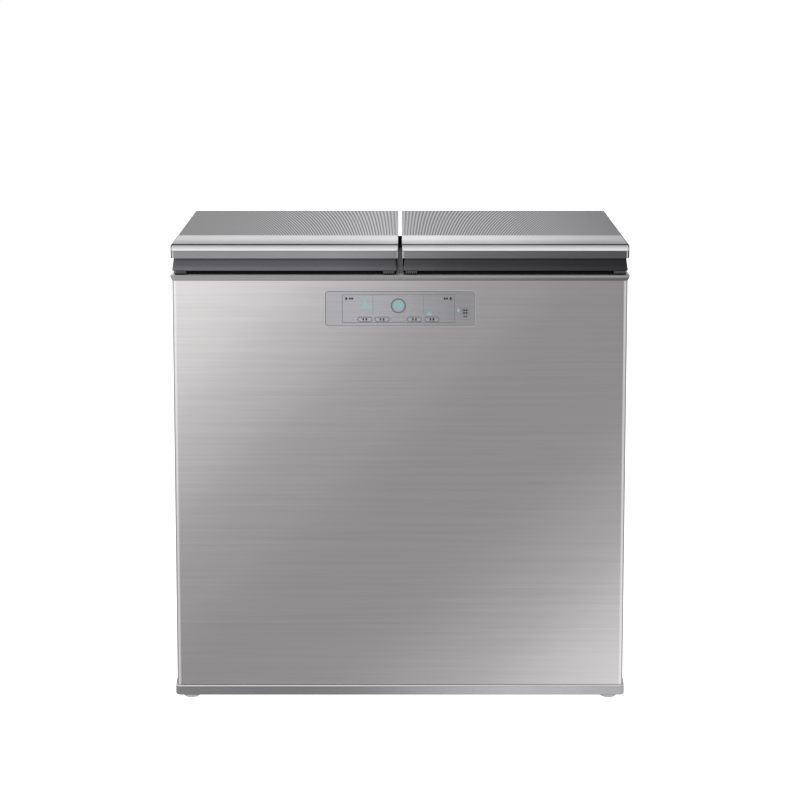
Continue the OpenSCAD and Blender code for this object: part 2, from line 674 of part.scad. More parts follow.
// Fan in a short duct, blowing from the condenser to the compressor
duct_r = fan_d / 2 + 4;
module at_fan() { translate([fan_x, fan_y, fan_z]) rotate([0, 90, 0]) children(); }
module fan_motor() color("#3c3e41") {
  difference() {
    union() {
      translate([fan_x - 14, bulk_y + sheet_t, pan_z]) cube([3, comp_d - sheet_t - 24, comp_top - 50 - pan_z]);
      at_fan() translate([0, 0, -14]) cylinder(r = duct_r + 3, h = 26);
    }
    at_fan() translate([0, 0, -20]) cylinder(r = duct_r, h = 40);
  }
  at_fan() {
    for (i = [0 : 3]) rotate(i * 90) translate([16, -4, 12 - eps]) cube([duct_r - 14, 8, 6]);
    translate([0, 0, 18 - eps]) cylinder(r = 30, h = 34);
    translate([0, 0, -7]) cylinder(r = 3, h = 26);
  }
}
module fan_blade() color("#d9dadb") at_fan() {
  difference() {
    union() {
      translate([0, 0, -8]) cylinder(r = 18, h = 16);
      intersection() {
        for (i = [0 : fan_blades - 1]) rotate(i * 360 / fan_blades) rotate([35, 0, 0])
          linear_extrude(1.8, center = true) polygon([[12, -11], [40, -15], [fan_d / 2 + 4, -16], [fan_d / 2 + 4, 13],
            [44, 16], [30, 14], [12, 9]]);
        cylinder(r = fan_d / 2, h = 40, center = true);
      }
    }
    translate([0, 0, -8.01]) cylinder(r = 3 + run_gap, h = 16.02);
  }
}

// Control box on the left side sheet, with its ribbed cover
module main_board() color("#dfe0dd") translate([-half_w + sheet_t, comp_cy + 10, pan_z + 140]) rotate([0, 90, 0]) {
  slab(150, 150, 8, [[0, 0], [0, 34], [-3, 37]]);
  for (i = [-2 : 2]) translate([i * 24, 0, 37 - eps]) slab(8, 120, 2, [[0, 0], [-1, 3]]);
}

// Louvred sheet over the compartment, with two spacers that keep the air gap to a wall
cover_w = 2 * (half_w - 8);
cover_z0 = pan_z + 2;
cover_z1 = comp_top + 12;
inlet_at = [half_w - 58, 82];
slot_rows = 13;
module machine_cover() color(zinc) difference() {
  union() {
    translate([-cover_w / 2, back_y, cover_z0]) cube([cover_w, cover_t, cover_z1 - cover_z0]);
    both() translate([half_w - 34, back_y + cover_t - eps, cover_z0 + 26]) rotate([-90, 0, 0])
      cylinder(r1 = 15, r2 = 11, h = rear_space - cover_t + eps);
    both() for (c = [0 : 2], k = [0 : slot_rows - 1]) translate([70 + c * 82, back_y + cover_t - eps, 78 + k * 14]) hood();
  }
  both() for (c = [0 : 2], k = [0 : slot_rows - 1])
    translate([70 + c * 82 + 2, back_y - 1, 78 + k * 14]) cube([64, cover_t + 2, 5]);
  translate([inlet_at[0], back_y - 1, inlet_at[1]]) rod_y(11, cover_t + 2);
}
// Hood pressed out over one slot
module hood() {
  translate([0, 0, 5]) rotate([90, 0, 90]) linear_extrude(68) polygon([[0, -3], [3.2, -4.6], [4, -4], [0, 1.6]]);
}

// Moulded gland where the mains lead enters
module power_inlet() color("#26272a") translate([inlet_at[0], back_y, inlet_at[1]]) rotate([-90, 0, 0])
  rotate_extrude() polygon([[4.5, -8], [12.5, -8], [12.5, -6], [10.7, -6 + 5.5], [10.7, cover_t + rest_gap], [16, cover_t + rest_gap],
    [16, cover_t + 3], [9, cover_t + 8], [4.5, cover_t + 8]]);

// ---------------------------------------------------------------- feet and rollers

module foot() translate([foot_x, front_y + foot_inset, 0]) rotate_extrude() polygon(concat(
  [[0, 0], [foot_tip_d / 2 - 1, 0]],
  [for (i = [0 : 6]) let (a = i * 15) [foot_tip_d / 2 + (foot_d - foot_tip_d) / 2 * sin(a), 0.8 + (foot_gap - 1.5) * (1 - cos(a))]],
  [[foot_d / 2, foot_gap + 1.5], [stud_d / 2 + 3, foot_gap + 2], [stud_d / 2 + 3, cab_z0 - 12], [stud_d / 2, cab_z0 - 11.5],
   [stud_d / 2, cab_z0 - 1], [stud_d / 2 - 1, cab_z0], [0, cab_z0]]));
module right_foot() color("#e9ecec") foot();
module left_foot() color("#e9ecec") mirror([1, 0, 0]) foot();

roller_y = back_y - 44;
roller_z = roller_d / 2;
module roller() translate([roller_x - roller_w / 2, roller_y, roller_z]) rotate([0, 90, 0]) rotate_extrude() polygon([
  [axle_d / 2 + run_gap, 0], [roller_d / 2 - 2, 0], [roller_d / 2, 2], [roller_d / 2, roller_w - 2],
  [roller_d / 2 - 2, roller_w], [axle_d / 2 + run_gap, roller_w]]);
module right_roller() color("#3a3b3d") roller();
module left_roller() color("#3a3b3d") mirror([1, 0, 0]) roller();

// Folded brackets under the base pan, each with its riveted axle
module roller_brackets() color(zinc) both() translate([roller_x, roller_y, 0]) {
  x = roller_w / 2 + 0.5;
  translate([-x - 2, -18, cab_z0 - 2]) cube([2 * x + 4, 36, 2]);
  for (s = [-1, 1]) translate([s > 0 ? x : -x - 2, 0, 0]) rotate([90, 0, 90]) linear_extrude(2) {
    translate([0, roller_z]) circle(7);
    translate([-7, roller_z]) square([14, cab_z0 - 1 - roller_z]);
  }
  translate([-x - 3, 0, roller_z]) rod_x(axle_d / 2, 2 * x + 6);
}

// ---------------------------------------------------------------- hinges

// Folded bracket: a plate on the cabinet's back with two ears for the pin
module hinge_brackets() color(zinc) at_hinges() difference() {
  e = ear_gap / 2;
  plate_z1 = pin_z - 2;
  union() {
    translate([-e - bracket_t, back_y, plate_z1 - bracket_h]) cube([2 * (e + bracket_t), bracket_t, bracket_h]);
    for (s = [0, 1]) translate([s == 0 ? -e - bracket_t : e, 0, 0]) rotate([90, 0, 90]) linear_extrude(bracket_t) {
      translate([pin_y, pin_z]) circle(pin_d / 2 + 5);
      translate([pin_y, frame_z1 + 4]) square([back_y + bracket_t - pin_y, plate_z1 - frame_z1 - 4]);
    }
  }
  translate([-e - bracket_t - 1, pin_y, pin_z]) rod_x(pin_d / 2 + run_gap, 2 * (e + bracket_t) + 2);
  translate([coil_x0 + coil_turns * coil_pitch, back_y - 1, pin_z - coil_r]) rod_y(coil_wire / 2 + 0.3, bracket_t + 2);
  for (z = [20, 55], x = [-16, 16]) translate([x, back_y - 1, plate_z1 - bracket_h + z]) rod_y(2.6, bracket_t + 2);
}

// One counterbalance spring: leg under the arm, turns round the pin, leg held in the bracket
coil_leg = 16;
coil_steps = 8;
coil_path = concat([[coil_x0, -coil_leg, -coil_r]],
  [for (i = [0 : coil_turns * coil_steps]) let (a = 270 + i * 360 / coil_steps)
    [coil_x0 + i * coil_pitch / coil_steps, coil_r * cos(a), coil_r * sin(a)]],
  [[coil_x0 + coil_turns * coil_pitch, back_y - pin_y + bracket_t + 1.5, -coil_r]]);
// Six-sided section about each path point, across the path
function coil_ring(i) = let (n = len(coil_path), a = coil_path[max(i - 1, 0)], b = coil_path[min(i + 1, n - 1)],
  t = (b - a) / norm(b - a), u = cross(t, [1, 0, 0]) / norm(cross(t, [1, 0, 0])), v = cross(t, u))
  [for (k = [0 : 5]) coil_path[i] + coil_wire / 2 * (cos(k * 60) * u + sin(k * 60) * v)];
// Least gap between the wire and its own next turn
coil_gap = min([for (i = [0 : len(coil_path) - 1 - coil_steps], j = [i + coil_steps - 1 : len(coil_path) - 1])
  norm(coil_path[i] - coil_path[j])]) - coil_wire;
echo(str("hinge spring, least gap to itself: ", coil_gap, " mm"));
module coil_spring() {
  n = len(coil_path);
  polyhedron([for (i = [0 : n - 1]) each coil_ring(i)],
    concat([[for (k = [0 : 5]) k], [for (k = [5 : -1 : 0]) (n - 1) * 6 + k]],
      [for (i = [0 : n - 2], k = [0 : 5], h = [0, 1]) let (p = i * 6 + k, q = i * 6 + (k + 1) % 6)
        h == 0 ? [p, p + 6, q] : [q, p + 6, q + 6]]), convexity = 8);
}
module hinge_springs() color("#8c8f92") at_hinges() translate([0, pin_y, pin_z]) coil_spring();

// Moulded covers over the brackets, open towards the cabinet
module hinge_covers() color(frame_grey) at_hinges() {
  w = ear_gap + 2 * bracket_t + 12;
  depth = rear_space - rest_gap;
  cover_t = 2;
  cover_r = 5;
  z1 = pin_z + 2;
  h = bracket_h + 26;
  translate([0, back_y + rest_gap, z1 - h / 2]) rotate([-90, 0, 0]) difference() {
    slab(w, h, cover_r + 1, concat([[0, 0]], arc([-cover_r, depth - cover_r], cover_r, 0, 90, 6)));
    translate([0, 0, -1]) slab(w - 2 * cover_t, h - 2 * cover_t, cover_r - 1,
      concat([[0, 0]], arc([2 - cover_r, depth - cover_r + 1], cover_r - 2, 0, 90, 6)));
  }
}

// ---------------------------------------------------------------- lids

// Right-hand lid's outline as a block with a profiled edge, about the lid's own middle
module lid_slab(inset, edge, r = lid_r) {
  translate([lid_cx, lid_cy, 0]) slab(lid_w - 2 * inset, lid_d - 2 * inset, r, edge);
}
module lid_box(inset, r, z0, z1) {
  translate([lid_cx, lid_cy, z0]) rbox(lid_w - 2 * inset, lid_d - 2 * inset, r, z1 - z0);
}

strip_y = lid_y0 + strip_l;
seat = edge_in + rim;

// Place of the top panel, grown by a gap
module panel_place(gap, z0, z1) {
  y1 = lid_y1 - seat + gap;
  y0 = strip_y - gap;
  translate([lid_cx, (y0 + y1) / 2, z0]) rbox(lid_w - 2 * seat + 2 * gap, y1 - y0, 3, z1 - z0);
}

cover_in_z = band_z + 2.5;
// Hollow of the cover, drawn in under the bevel
module cover_pocket() {
  lid_box(skin, lid_r - skin, cover_in_z, bevel_z);
  lid_box(skin + bevel_in, lid_r - skin - 3, bevel_z - eps, body_h - top_t);
}
module lid_cover() difference() {
  lid_slab(0, concat([[-0.6, band_z], [0, band_z + 0.6]], arc([-edge_in, body_h - edge_in], edge_in, 0, 90, 4)));
  // broad chamfer along the front, eased at both of its edges
  translate([lid_cx, lid_y0, 0]) rotate([90, 0, 90]) linear_extrude(lid_w + 2, center = true)
    polygon([[-1, bevel_z - 0.8], [0, bevel_z - 0.8], [0.6, bevel_z + 0.5], [bevel_in - 0.6, body_h - 0.5],
      [bevel_in, body_h], [bevel_in, body_h + 1], [-1, body_h + 1]]);
  cover_pocket();
  lid_box(liner_in, liner_r, band_z - 1, cover_in_z + 1);
  panel_place(0.2, body_h - panel_t, body_h + 1);
  // groove between the chamfer and the plain strip
  translate([lid_cx, lid_y0 + bevel_in + 1.6, body_h - 0.8 + 1]) cube([lid_w + 2, 1.2, 2], center = true);
}
module right_lid_cover() color(light_grey) lid_cover();
module left_lid_cover() color(light_grey) mirror([1, 0, 0]) lid_cover();

module lid_panel() panel_place(0, body_h - panel_t, body_h);
module right_lid_panel() color(frame_grey) lid_panel();
module left_lid_panel() color(frame_grey) mirror([1, 0, 0]) lid_panel();

// Dark lower frame, with the foot that carries the gasket and slots for the hinge arms
module lid_frame() difference() {
  lid_slab(0, [[-4.4, lid_z0], [-3.2, lid_z0 + 0.5], [-2.7, lid_z0 + 2], [-low_in, band_z - 1.5], [-low_in, band_z]]);
  lid_box(low_in + skin, lid_r - 3, lid_z0 + skin, band_z + 1);
  lid_box(flange_w, 4, lid_z0 - 1, band_z);
  for (s = [-1, 1]) translate([lid_cx + s * hinge_dx - ear_gap / 2, lid_y1 - low_in - skin - 1, strap_z - 0.1])
    cube([ear_gap, skin + 2, 20]);
}
module right_lid_frame() color(dark_grey) lid_frame();
module left_lid_frame() color(dark_grey) mirror([1, 0, 0]) lid_frame();

// Inner shell with the plug that reaches into the well
liner_in = low_in + skin + 1;
liner_r = lid_r - skin - 1;
module plug(step, z0, z1) {
  g = 2 * (plug_gap + step);
  translate([well_cx, well_cy, z0]) rbox(well_w - g, well_d - g, well_r - plug_gap - step, z1 - z0);
}
module lid_liner() difference() {
  union() {
    lid_box(liner_in, liner_r, lid_z0 + skin, lid_z0 + skin + 2);
    plug(0, lid_z0 - plug_h, lid_z0 + skin + 1);
  }
  plug(2, lid_z0 - plug_h + 2, lid_z0 + skin + 3);
  // shallow pan pressed into the plug's face
  translate([well_cx, well_cy, lid_z0 - plug_h - 1]) rbox(well_w - 110, well_d - 110, 20, 2);
}
module right_lid_liner() color("#eceded") lid_liner();
module left_lid_liner() color("#eceded") mirror([1, 0, 0]) lid_liner();

module lid_foam() difference() {
  union() {
    lid_box(liner_in, liner_r, lid_z0 + skin + 2, cover_in_z + eps);
    cover_pocket();
    plug(2, lid_z0 - plug_h + 2, lid_z0 + skin + 2 + eps);
  }
  arm_space();
}
module right_lid_foam() color("#e9dcae") lid_foam();
module left_lid_foam() color("#e9dcae") mirror([1, 0, 0]) lid_foam();

// Soft ring with a neck, clipped under the lid frame
module lid_gasket() difference() {
  gx = lid_w - 2 * 5.5;
  gy = lid_d - 2 * 11;
  z0 = frame_z1 + rest_gap;
  translate([lid_cx, lid_cy, 0]) slab(gx, gy, 8, [[-1, z0], [0, z0 + 0.9], [0, z0 + 3.5], [-2, z0 + 4.6], [-0.6, lid_z0 - 1.2], [-0.6, lid_z0]]);
  translate([lid_cx, lid_cy, z0 - 1]) rbox(gx - 2 * gasket_w, gy - 2 * gasket_w, 5, seal_gap + 2);
}
module right_lid_gasket() color("#3a3b3c") lid_gasket();
module left_lid_gasket() color("#3a3b3c") mirror([1, 0, 0]) lid_gasket();

// Two steel arms foamed into the lid, each with the pin pressed through its knuckle
arm_in = 60;
module arm_space() {
  for (s = [-1, 1]) translate([lid_cx + s * hinge_dx - ear_gap / 2 + 2, lid_y1 - arm_in, strap_z])
    cube([ear_gap - 4, arm_in, strap_t]);
}
module hinge_arms() difference() {
  union() {
    arm_space();
    for (s = [-1, 1]) translate([lid_cx + s * hinge_dx, 0, 0]) {
      translate([-ear_gap / 2 + 2, lid_y1 - eps, strap_z]) cube([ear_gap - 4, 2.5, strap_t]);
      translate([knuckle_x0, lid_y1 - eps, strap_z]) cube([knuckle_x1 - knuckle_x0, pin_back, strap_t]);
      translate([knuckle_x0, pin_y, pin_z]) rod_x(knuckle_r, knuckle_x1 - knuckle_x0);
    }
  }
  for (s = [-1, 1]) translate([lid_cx + s * hinge_dx + knuckle_x0 - 1, pin_y, pin_z])
    rod_x(pin_d / 2, knuckle_x1 - knuckle_x0 + 2);
}
module hinge_pins() {
  l = ear_gap + 2 * bracket_t + 1;
  for (s = [-1, 1]) translate([lid_cx + s * hinge_dx - l / 2, pin_y, pin_z]) {
    rod_x(pin_d / 2, l);
    translate([-2, 0, 0]) rod_x(pin_d / 2 + 2, 2);
    translate([l, 0, 0]) rod_x(pin_d / 2 + 2, 2);
  }
}
module right_hinge_arms() color(zinc) { hinge_arms(); hinge_pins(); }
module left_hinge_arms() color(zinc) mirror([1, 0, 0]) { hinge_arms(); hinge_pins(); }

// ---------------------------------------------------------------- control panel

// Children in the panel's plane: X across, Y up, +Z out of the face
module at_panel() { translate([0, front_y, panel_z]) rotate([90, 0, 0]) children(); }
module pill(grow, h) { rbox(pill_l + 2 * grow, pill_h + 2 * grow, pill_h / 2 + grow - 0.01, h); }

module control_panel() color("#9aa0a9") at_panel() difference() {
  union() {
    slab(panel_w, panel_h, 7, [[0, 0], [0, face_t - 0.5], [-0.5, face_t]]);
    difference() {
      translate([0, 0, -5]) rbox(panel_w - 15, panel_h - 11, 3.5, 5 + eps);
      translate([0, 0, -6]) rbox(panel_w - 19, panel_h - 15, 2, 6);
    }
  }
  for (x = pill_x) translate([x, -pill_drop, -1]) pill(hole_gap, face_t + 2);
  translate([lock_at[0], lock_at[1], -1]) rbox(lock_w + 2 * hole_gap, lock_h + 2 * hole_gap, 4, face_t + 2);
  translate([ring_at[0], ring_at[1], -1]) cylinder(d = ring_d - 6, h = face_t + 2);
}

// Clear window with its raised ring
module display_lens() color("#7fc4cf") at_panel() translate([ring_at[0], ring_at[1], 0]) {
  translate([0, 0, -1]) cylinder(d = ring_d - 6.2, h = face_t + 1 + eps);
  translate([0, 0, face_t]) difference() {
    cylinder(d = ring_d, h = 0.9);
    translate([0, 0, 0.4]) cylinder(d = ring_d - 4, h = 1);
  }
}

housing_w = panel_w - 18;
housing_h = panel_h - 14;
module control_housing() color("#3b3d40") at_panel() difference() {
  translate([0, 0, -housing_d - sheet_t]) rbox(housing_w, housing_h, 4, housing_d + sheet_t - 5.3);
  translate([0, 0, -housing_d - sheet_t + 2]) rbox(housing_w - 4, housing_h - 4, 2, housing_d + sheet_t);
}

// Circuit board with a lamp block behind the window and a switch behind each button
module display_board() color("#2f6b3f") at_panel() {
  z = front_y - board_y;
  translate([0, 0, z - 1.6]) rbox(housing_w - 4.6, housing_h - 4.6, 2, 1.6);
  for (x = [-1, 1], y = [-1, 1]) translate([x * (housing_w / 2 - 10), y * (housing_h / 2 - 9), z - 1.6])
    translate([0, 0, -(housing_d + sheet_t + z - 3.6)]) cylinder(r = 3, h = housing_d + sheet_t + z - 3.6 + eps);
  translate([ring_at[0], ring_at[1], z - eps]) cylinder(r = 9, h = -z - 4);
  for (x = pill_x) translate([x - 3, -pill_drop - 3, z - eps]) cube([6, 6, 3.5]);
  translate([lock_at[0] - 3, lock_at[1] - 3, z - eps]) cube([6, 6, 3.5]);
}

// A button's cap, its flange behind the panel and its stem; the children are the flat outline
module button_body(x, y) {
  at_panel() translate([x, y, 0]) {
    translate([0, 0, -rest_gap - flange_t]) children(0);
    translate([0, 0, -rest_gap - flange_t]) children(1);
    z = front_y - board_y + 3.5 + press + 0.2;
    translate([0, 0, z]) cylinder(r = 2.2, h = -z - rest_gap - flange_t + eps);
  }
}
cap_h = flange_t + rest_gap + face_t + button_proud;
module pill_button(i) color("#a4aab3") button_body(pill_x[i], -pill_drop) {
  pill(0, cap_h);
  pill(0.9, flange_t);
}
module button_left_warm() { pill_button(0); }
module button_left_cool() { pill_button(1); }
module button_right_warm() { pill_button(2); }
module button_right_cool() { pill_button(3); }
module button_lock() color("#a4aab3") button_body(lock_at[0], lock_at[1]) {
  rbox(lock_w, lock_h, 4, cap_h);
  rbox(lock_w + 1.6, lock_h + 1.6, 4, flange_t);
}

// ---------------------------------------------------------------- containers

module container() translate([well_cx, deep_cy, box_z0]) difference() {
  union() {
    slab(box_w - 2 * rim_in - 8, box_l - 2 * rim_in - 8, box_r - 8, [[-6, 0], [-2, 3], [0, 10], [0, box_h]]);
    translate([0, 0, box_h - 7]) rbox(box_w - 2 * rim_in, box_l - 2 * rim_in, box_r - rim_in, 7);
  }
  translate([0, 0, 3]) rbox(box_w - 2 * rim_in - 8 - 2 * box_t, box_l - 2 * rim_in - 8 - 2 * box_t, box_r - 8 - box_t, box_h);
}
module right_container() color("#cfd6d8") container();
module left_container() color("#cfd6d8") mirror([1, 0, 0]) container();

// Lid with a skirt over the rim, a raised border and a latch flap in the middle of two sides
module container_lid() translate([well_cx, deep_cy, box_z0 + box_h + rest_gap]) {
  difference() {
    translate([0, 0, -9]) slab(box_w, box_l, box_r, [[-0.4, 0], [0, 1], [0, 12], [-2.5, 14]]);
    translate([0, 0, -10]) rbox(box_w - 2 * rim_in + 2 * rest_gap, box_l - 2 * rim_in + 2 * rest_gap, box_r - 3, 10);
    translate([0, 0, 2.5]) rbox(box_w - 44, box_l - 44, box_r - 12, 5);
  }
  for (s = [-1, 1]) translate([s * (box_w / 2 - 1.5), 0, -22]) {
    translate([-1.5, -45, 0]) cube([3, 90, 14]);
    translate([s > 0 ? -3.6 : -0.4, -30, 4]) cube([4, 60, 3]);
  }
}
module right_container_lid() color("#7f9aa5") container_lid();
module left_container_lid() color("#7f9aa5") mirror([1, 0, 0]) container_lid();

// ---------------------------------------------------------------- output
front_panel();
left_side_panel();
right_side_panel();
back_panel();
bulkhead();
machine_cover();
base_pan();
plinth();
top_frame();
lid_bumpers();
left_liner();
right_liner();
foam_insulation();
left_evaporator();
right_evaporator();
compressor();
compressor_mounts();
condenser();
refrigerant_lines();
fan_motor();
fan_blade();
main_board();
power_inlet();
temperature_sensors();
drain_plugs();
control_panel();
control_housing();
display_board();
display_lens();
button_left_warm();
button_left_cool();
button_right_warm();
button_right_cool();
button_lock();
hinge_brackets();
hinge_springs();
hinge_covers();
roller_brackets();
left_roller();
right_roller();
left_foot();
right_foot();
left_lid_cover();
left_lid_panel();
left_lid_frame();
left_lid_liner();
left_lid_foam();
left_lid_gasket();
left_hinge_arms();
right_lid_cover();
right_lid_panel();
right_lid_frame();
right_lid_liner();
right_lid_foam();
right_lid_gasket();
right_hinge_arms();
left_container();
left_container_lid();
right_container();
right_container_lid();
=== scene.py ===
import math

import bmesh
import bpy
from mathutils import Matrix, Vector


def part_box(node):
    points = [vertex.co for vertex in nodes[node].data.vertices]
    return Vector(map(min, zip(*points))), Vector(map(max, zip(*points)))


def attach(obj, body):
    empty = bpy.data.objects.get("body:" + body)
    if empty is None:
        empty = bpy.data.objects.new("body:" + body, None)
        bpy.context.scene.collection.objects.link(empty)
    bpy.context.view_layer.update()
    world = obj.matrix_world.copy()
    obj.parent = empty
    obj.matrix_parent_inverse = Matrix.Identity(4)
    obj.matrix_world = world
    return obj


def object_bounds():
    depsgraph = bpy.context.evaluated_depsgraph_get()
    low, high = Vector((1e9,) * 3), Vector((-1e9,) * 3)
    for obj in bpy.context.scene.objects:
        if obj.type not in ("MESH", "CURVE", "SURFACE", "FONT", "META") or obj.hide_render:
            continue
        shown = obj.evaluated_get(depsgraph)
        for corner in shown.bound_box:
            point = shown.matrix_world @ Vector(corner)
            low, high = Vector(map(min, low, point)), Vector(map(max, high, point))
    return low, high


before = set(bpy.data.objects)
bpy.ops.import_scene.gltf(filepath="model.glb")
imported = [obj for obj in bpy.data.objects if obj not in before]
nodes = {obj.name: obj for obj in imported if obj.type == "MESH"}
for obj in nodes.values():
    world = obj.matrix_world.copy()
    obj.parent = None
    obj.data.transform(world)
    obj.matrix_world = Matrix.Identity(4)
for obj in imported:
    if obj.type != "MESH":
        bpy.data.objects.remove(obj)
cad_low, cad_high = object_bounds()

# ---------------------------------------------------------------- studio
# A white sweep with soft lamps. The floor and the world are white to the camera and to reflections, so the
# background stays white without any more light on the appliance.

camera_distance = 5.70
camera_height = 1.552
camera_pitch = math.radians(9.0)
camera_lens = 120.4
camera_shift = -0.05

camera_data = bpy.data.cameras.new("camera")
camera_data.sensor_width = 36
camera_data.lens = camera_lens
camera_data.shift_y = camera_shift
camera = bpy.data.objects.new("camera", camera_data)
camera.location = (0, -camera_distance, camera_height)
camera.rotation_euler = (math.pi / 2 - camera_pitch, 0, 0)
bpy.context.scene.collection.objects.link(camera)
bpy.context.scene.camera = camera
bpy.context.scene.view_settings.view_transform = "Standard"


def node(material, kind, inputs=None, **settings):
    """Adds a shader node to a material or world; inputs are values or other nodes' sockets."""
    made = material.node_tree.nodes.new(kind)
    for key, value in settings.items():
        setattr(made, key, value)
    for key, value in (inputs or {}).items():
        if isinstance(value, bpy.types.NodeSocket):
            material.node_tree.links.new(value, made.inputs[key])
        else:
            made.inputs[key].default_value = value
    return made


def seen_or_mirrored(material):
    """1 for camera, glossy and transmission rays, otherwise 0."""
    path = node(material, "ShaderNodeLightPath")
    either = node(material, "ShaderNodeMath", {0: path.outputs["Is Camera Ray"],
                  1: path.outputs["Is Glossy Ray"]}, operation="MAXIMUM")
    return node(material, "ShaderNodeMath", {0: either.outputs[0],
                1: path.outputs["Is Transmission Ray"]}, operation="MAXIMUM").outputs[0]


# world_light reaches the appliance; the two others are what camera and reflections see of world and floor
world_light, world_seen = 0.62, 1.0
floor_seen = 1.41
world = bpy.data.worlds.new("white room")
world.use_nodes = True
bpy.context.scene.world = world
world_strength = node(world, "ShaderNodeMapRange",
                      {0: seen_or_mirrored(world), 3: world_light, 4: world_seen})
background = world.node_tree.nodes["Background"]
background.inputs["Color"].default_value = (1, 1, 1, 1)
world.node_tree.links.new(world_strength.outputs[0], background.inputs["Strength"])


def lamp(name, place, towards, size, power):
    """A square soft lamp that faces a point."""
    data = bpy.data.lights.new(name, "AREA")
    data.size = size
    data.energy = power
    made = bpy.data.objects.new(name, data)
    made.location = place
    made.rotation_euler = (Vector(towards) - Vector(place)).to_track_quat("-Z", "Y").to_euler()
    bpy.context.scene.collection.objects.link(made)


lamp("key", (-2.6, -3.2, 3.4), (0, 0, 0.5), 2.2, 95)
lamp("fill", (3.2, -3.6, 2.2), (0, 0, 0.5), 2.6, 28)
lamp("rear", (-1.2, 3.6, 2.6), (0, 0, 0.5), 2.4, 34)

floor_size = 30
floor_white = bpy.data.materials.new("floor white")
floor_white.use_nodes = True
floor_shader = floor_white.node_tree.nodes["Principled BSDF"]
floor_shader.inputs["Base Color"].default_value = (0.86, 0.86, 0.86, 1)
floor_shader.inputs["Roughness"].default_value = 0.9
floor_glow = node(floor_white, "ShaderNodeEmission", {"Color": (1, 1, 1, 1), "Strength": floor_seen})
floor_choice = node(floor_white, "ShaderNodeMixShader", {0: seen_or_mirrored(floor_white),
                    1: floor_shader.outputs[0], 2: floor_glow.outputs[0]})
floor_out = floor_white.node_tree.nodes["Material Output"]
floor_white.node_tree.links.new(floor_choice.outputs[0], floor_out.inputs["Surface"])

floor_shape = bmesh.new()
bmesh.ops.create_grid(floor_shape, x_segments=1, y_segments=1, size=floor_size / 2)
floor_mesh = bpy.data.meshes.new("floor")
floor_shape.to_mesh(floor_mesh)
floor_shape.free()
floor = bpy.data.objects.new("floor", floor_mesh)
floor_mesh.materials.append(floor_white)
bpy.context.scene.collection.objects.link(floor)

# ---------------------------------------------------------------- finishes
# Functions that build the materials. Greys are given as they are seen, out of 255, and patterns lie in the
# piece's own place, so that they ride with it.

plain_tint = (1, 1, 1)
steel_tint = (1.02, 0.988, 0.995)
cool_tint = (0.994, 0.988, 1.024)


def level(value, tint=plain_tint):
    """Linear colour of a grey that is seen as value out of 255, times a faint tint."""
    linear = ((value / 255 + 0.055) / 1.055) ** 2.4
    return tuple(linear * part for part in tint) + (1,)


def finish_of(name, colour, rough, metal=0.0, gloss=0.5, coat=0.0):
    """A material with one shader, whose colour and roughness a pattern may take over."""
    material = bpy.data.materials.new(name)
    material.use_nodes = True
    shader = material.node_tree.nodes["Principled BSDF"]
    shader.inputs["Base Color"].default_value = colour
    shader.inputs["Roughness"].default_value = rough
    shader.inputs["Metallic"].default_value = metal
    shader.inputs["Specular IOR Level"].default_value = gloss
    shader.inputs["Coat Weight"].default_value = coat
    return material, shader


def link(material, source, socket):
    material.node_tree.links.new(source, socket)


def place_on(material, stretch=(1, 1, 1)):
    """The piece's own place in metres, stretched for a pattern."""
    spot = node(material, "ShaderNodeTexCoord").outputs["Object"]
    if stretch == (1, 1, 1):
        return spot
    return node(material, "ShaderNodeMapping", {"Vector": spot, "Scale": stretch}).outputs[0]


def noise_on(material, stretch, detail=3.0):
    """Noise from 0 to 1 whose grains are 1 / stretch metres long in each direction."""
    return node(material, "ShaderNodeTexNoise", {"Vector": place_on(material, stretch), "Scale": 1.0,
                "Detail": detail, "Roughness": 0.55}).outputs[0]


def spread(material, value, low, high, out_low, out_high):
    """Maps a value from one range to another, and holds it there."""
    return node(material, "ShaderNodeMapRange", {0: value, 1: low, 2: high, 3: out_low, 4: out_high},
                clamp=True).outputs[0]


def swing(material, noise, out_low, out_high):
    """Maps noise onto a range; nearly all of it lies between 0.3 and 0.7."""
    return spread(material, noise, 0.3, 0.7, out_low, out_high)


def maths(material, operation, first, second=0.0):
    return node(material, "ShaderNodeMath", {0: first, 1: second}, operation=operation).outputs[0]


def times(material, first, second):
    return maths(material, "MULTIPLY", first, second)


RIGHT, BACK, UP = (1, 0, 0), (0, 1, 0), (0, 0, 1)


def along(material, direction):
    """How far the place lies along a direction, in metres."""
    return node(material, "ShaderNodeVectorMath", {0: place_on(material), 1: direction},
                operation="DOT_PRODUCT").outputs["Value"]


def off_middle(material):
    """How far the place lies from the appliance's middle, to either side."""
    return maths(material, "ABSOLUTE", along(material, RIGHT))


def ramp(material, value, low, high, stops, tint=plain_tint):
    """Greys along a value: stops are (share of the way from low to high, grey as seen)."""
    made = node(material, "ShaderNodeValToRGB", {0: spread(material, value, low, high, 0, 1)})
    made.color_ramp.interpolation = "CARDINAL"
    points = made.color_ramp.elements
    for (share, seen), point in zip((stops[0], stops[-1]), (points[0], points[1])):
        point.position = share
        point.color = level(seen, tint)
    for share, seen in stops[1:-1]:
        points.new(share).color = level(seen, tint)
    return made.outputs[0]


def blended(material, share, first, second, blend="MIX"):
    """Two colours mixed, or one laid on the other."""
    made = node(material, "ShaderNodeMix", {0: share, 6: first, 7: second}, data_type="RGBA",
                blend_type=blend)
    return made.outputs[2]


def shaded_by(material, colour, factor):
    """A colour made lighter or darker by a factor."""
    grey = node(material, "ShaderNodeCombineColor", {0: factor, 1: factor, 2: factor}).outputs[0]
    return blended(material, 1.0, colour, grey, "MULTIPLY")


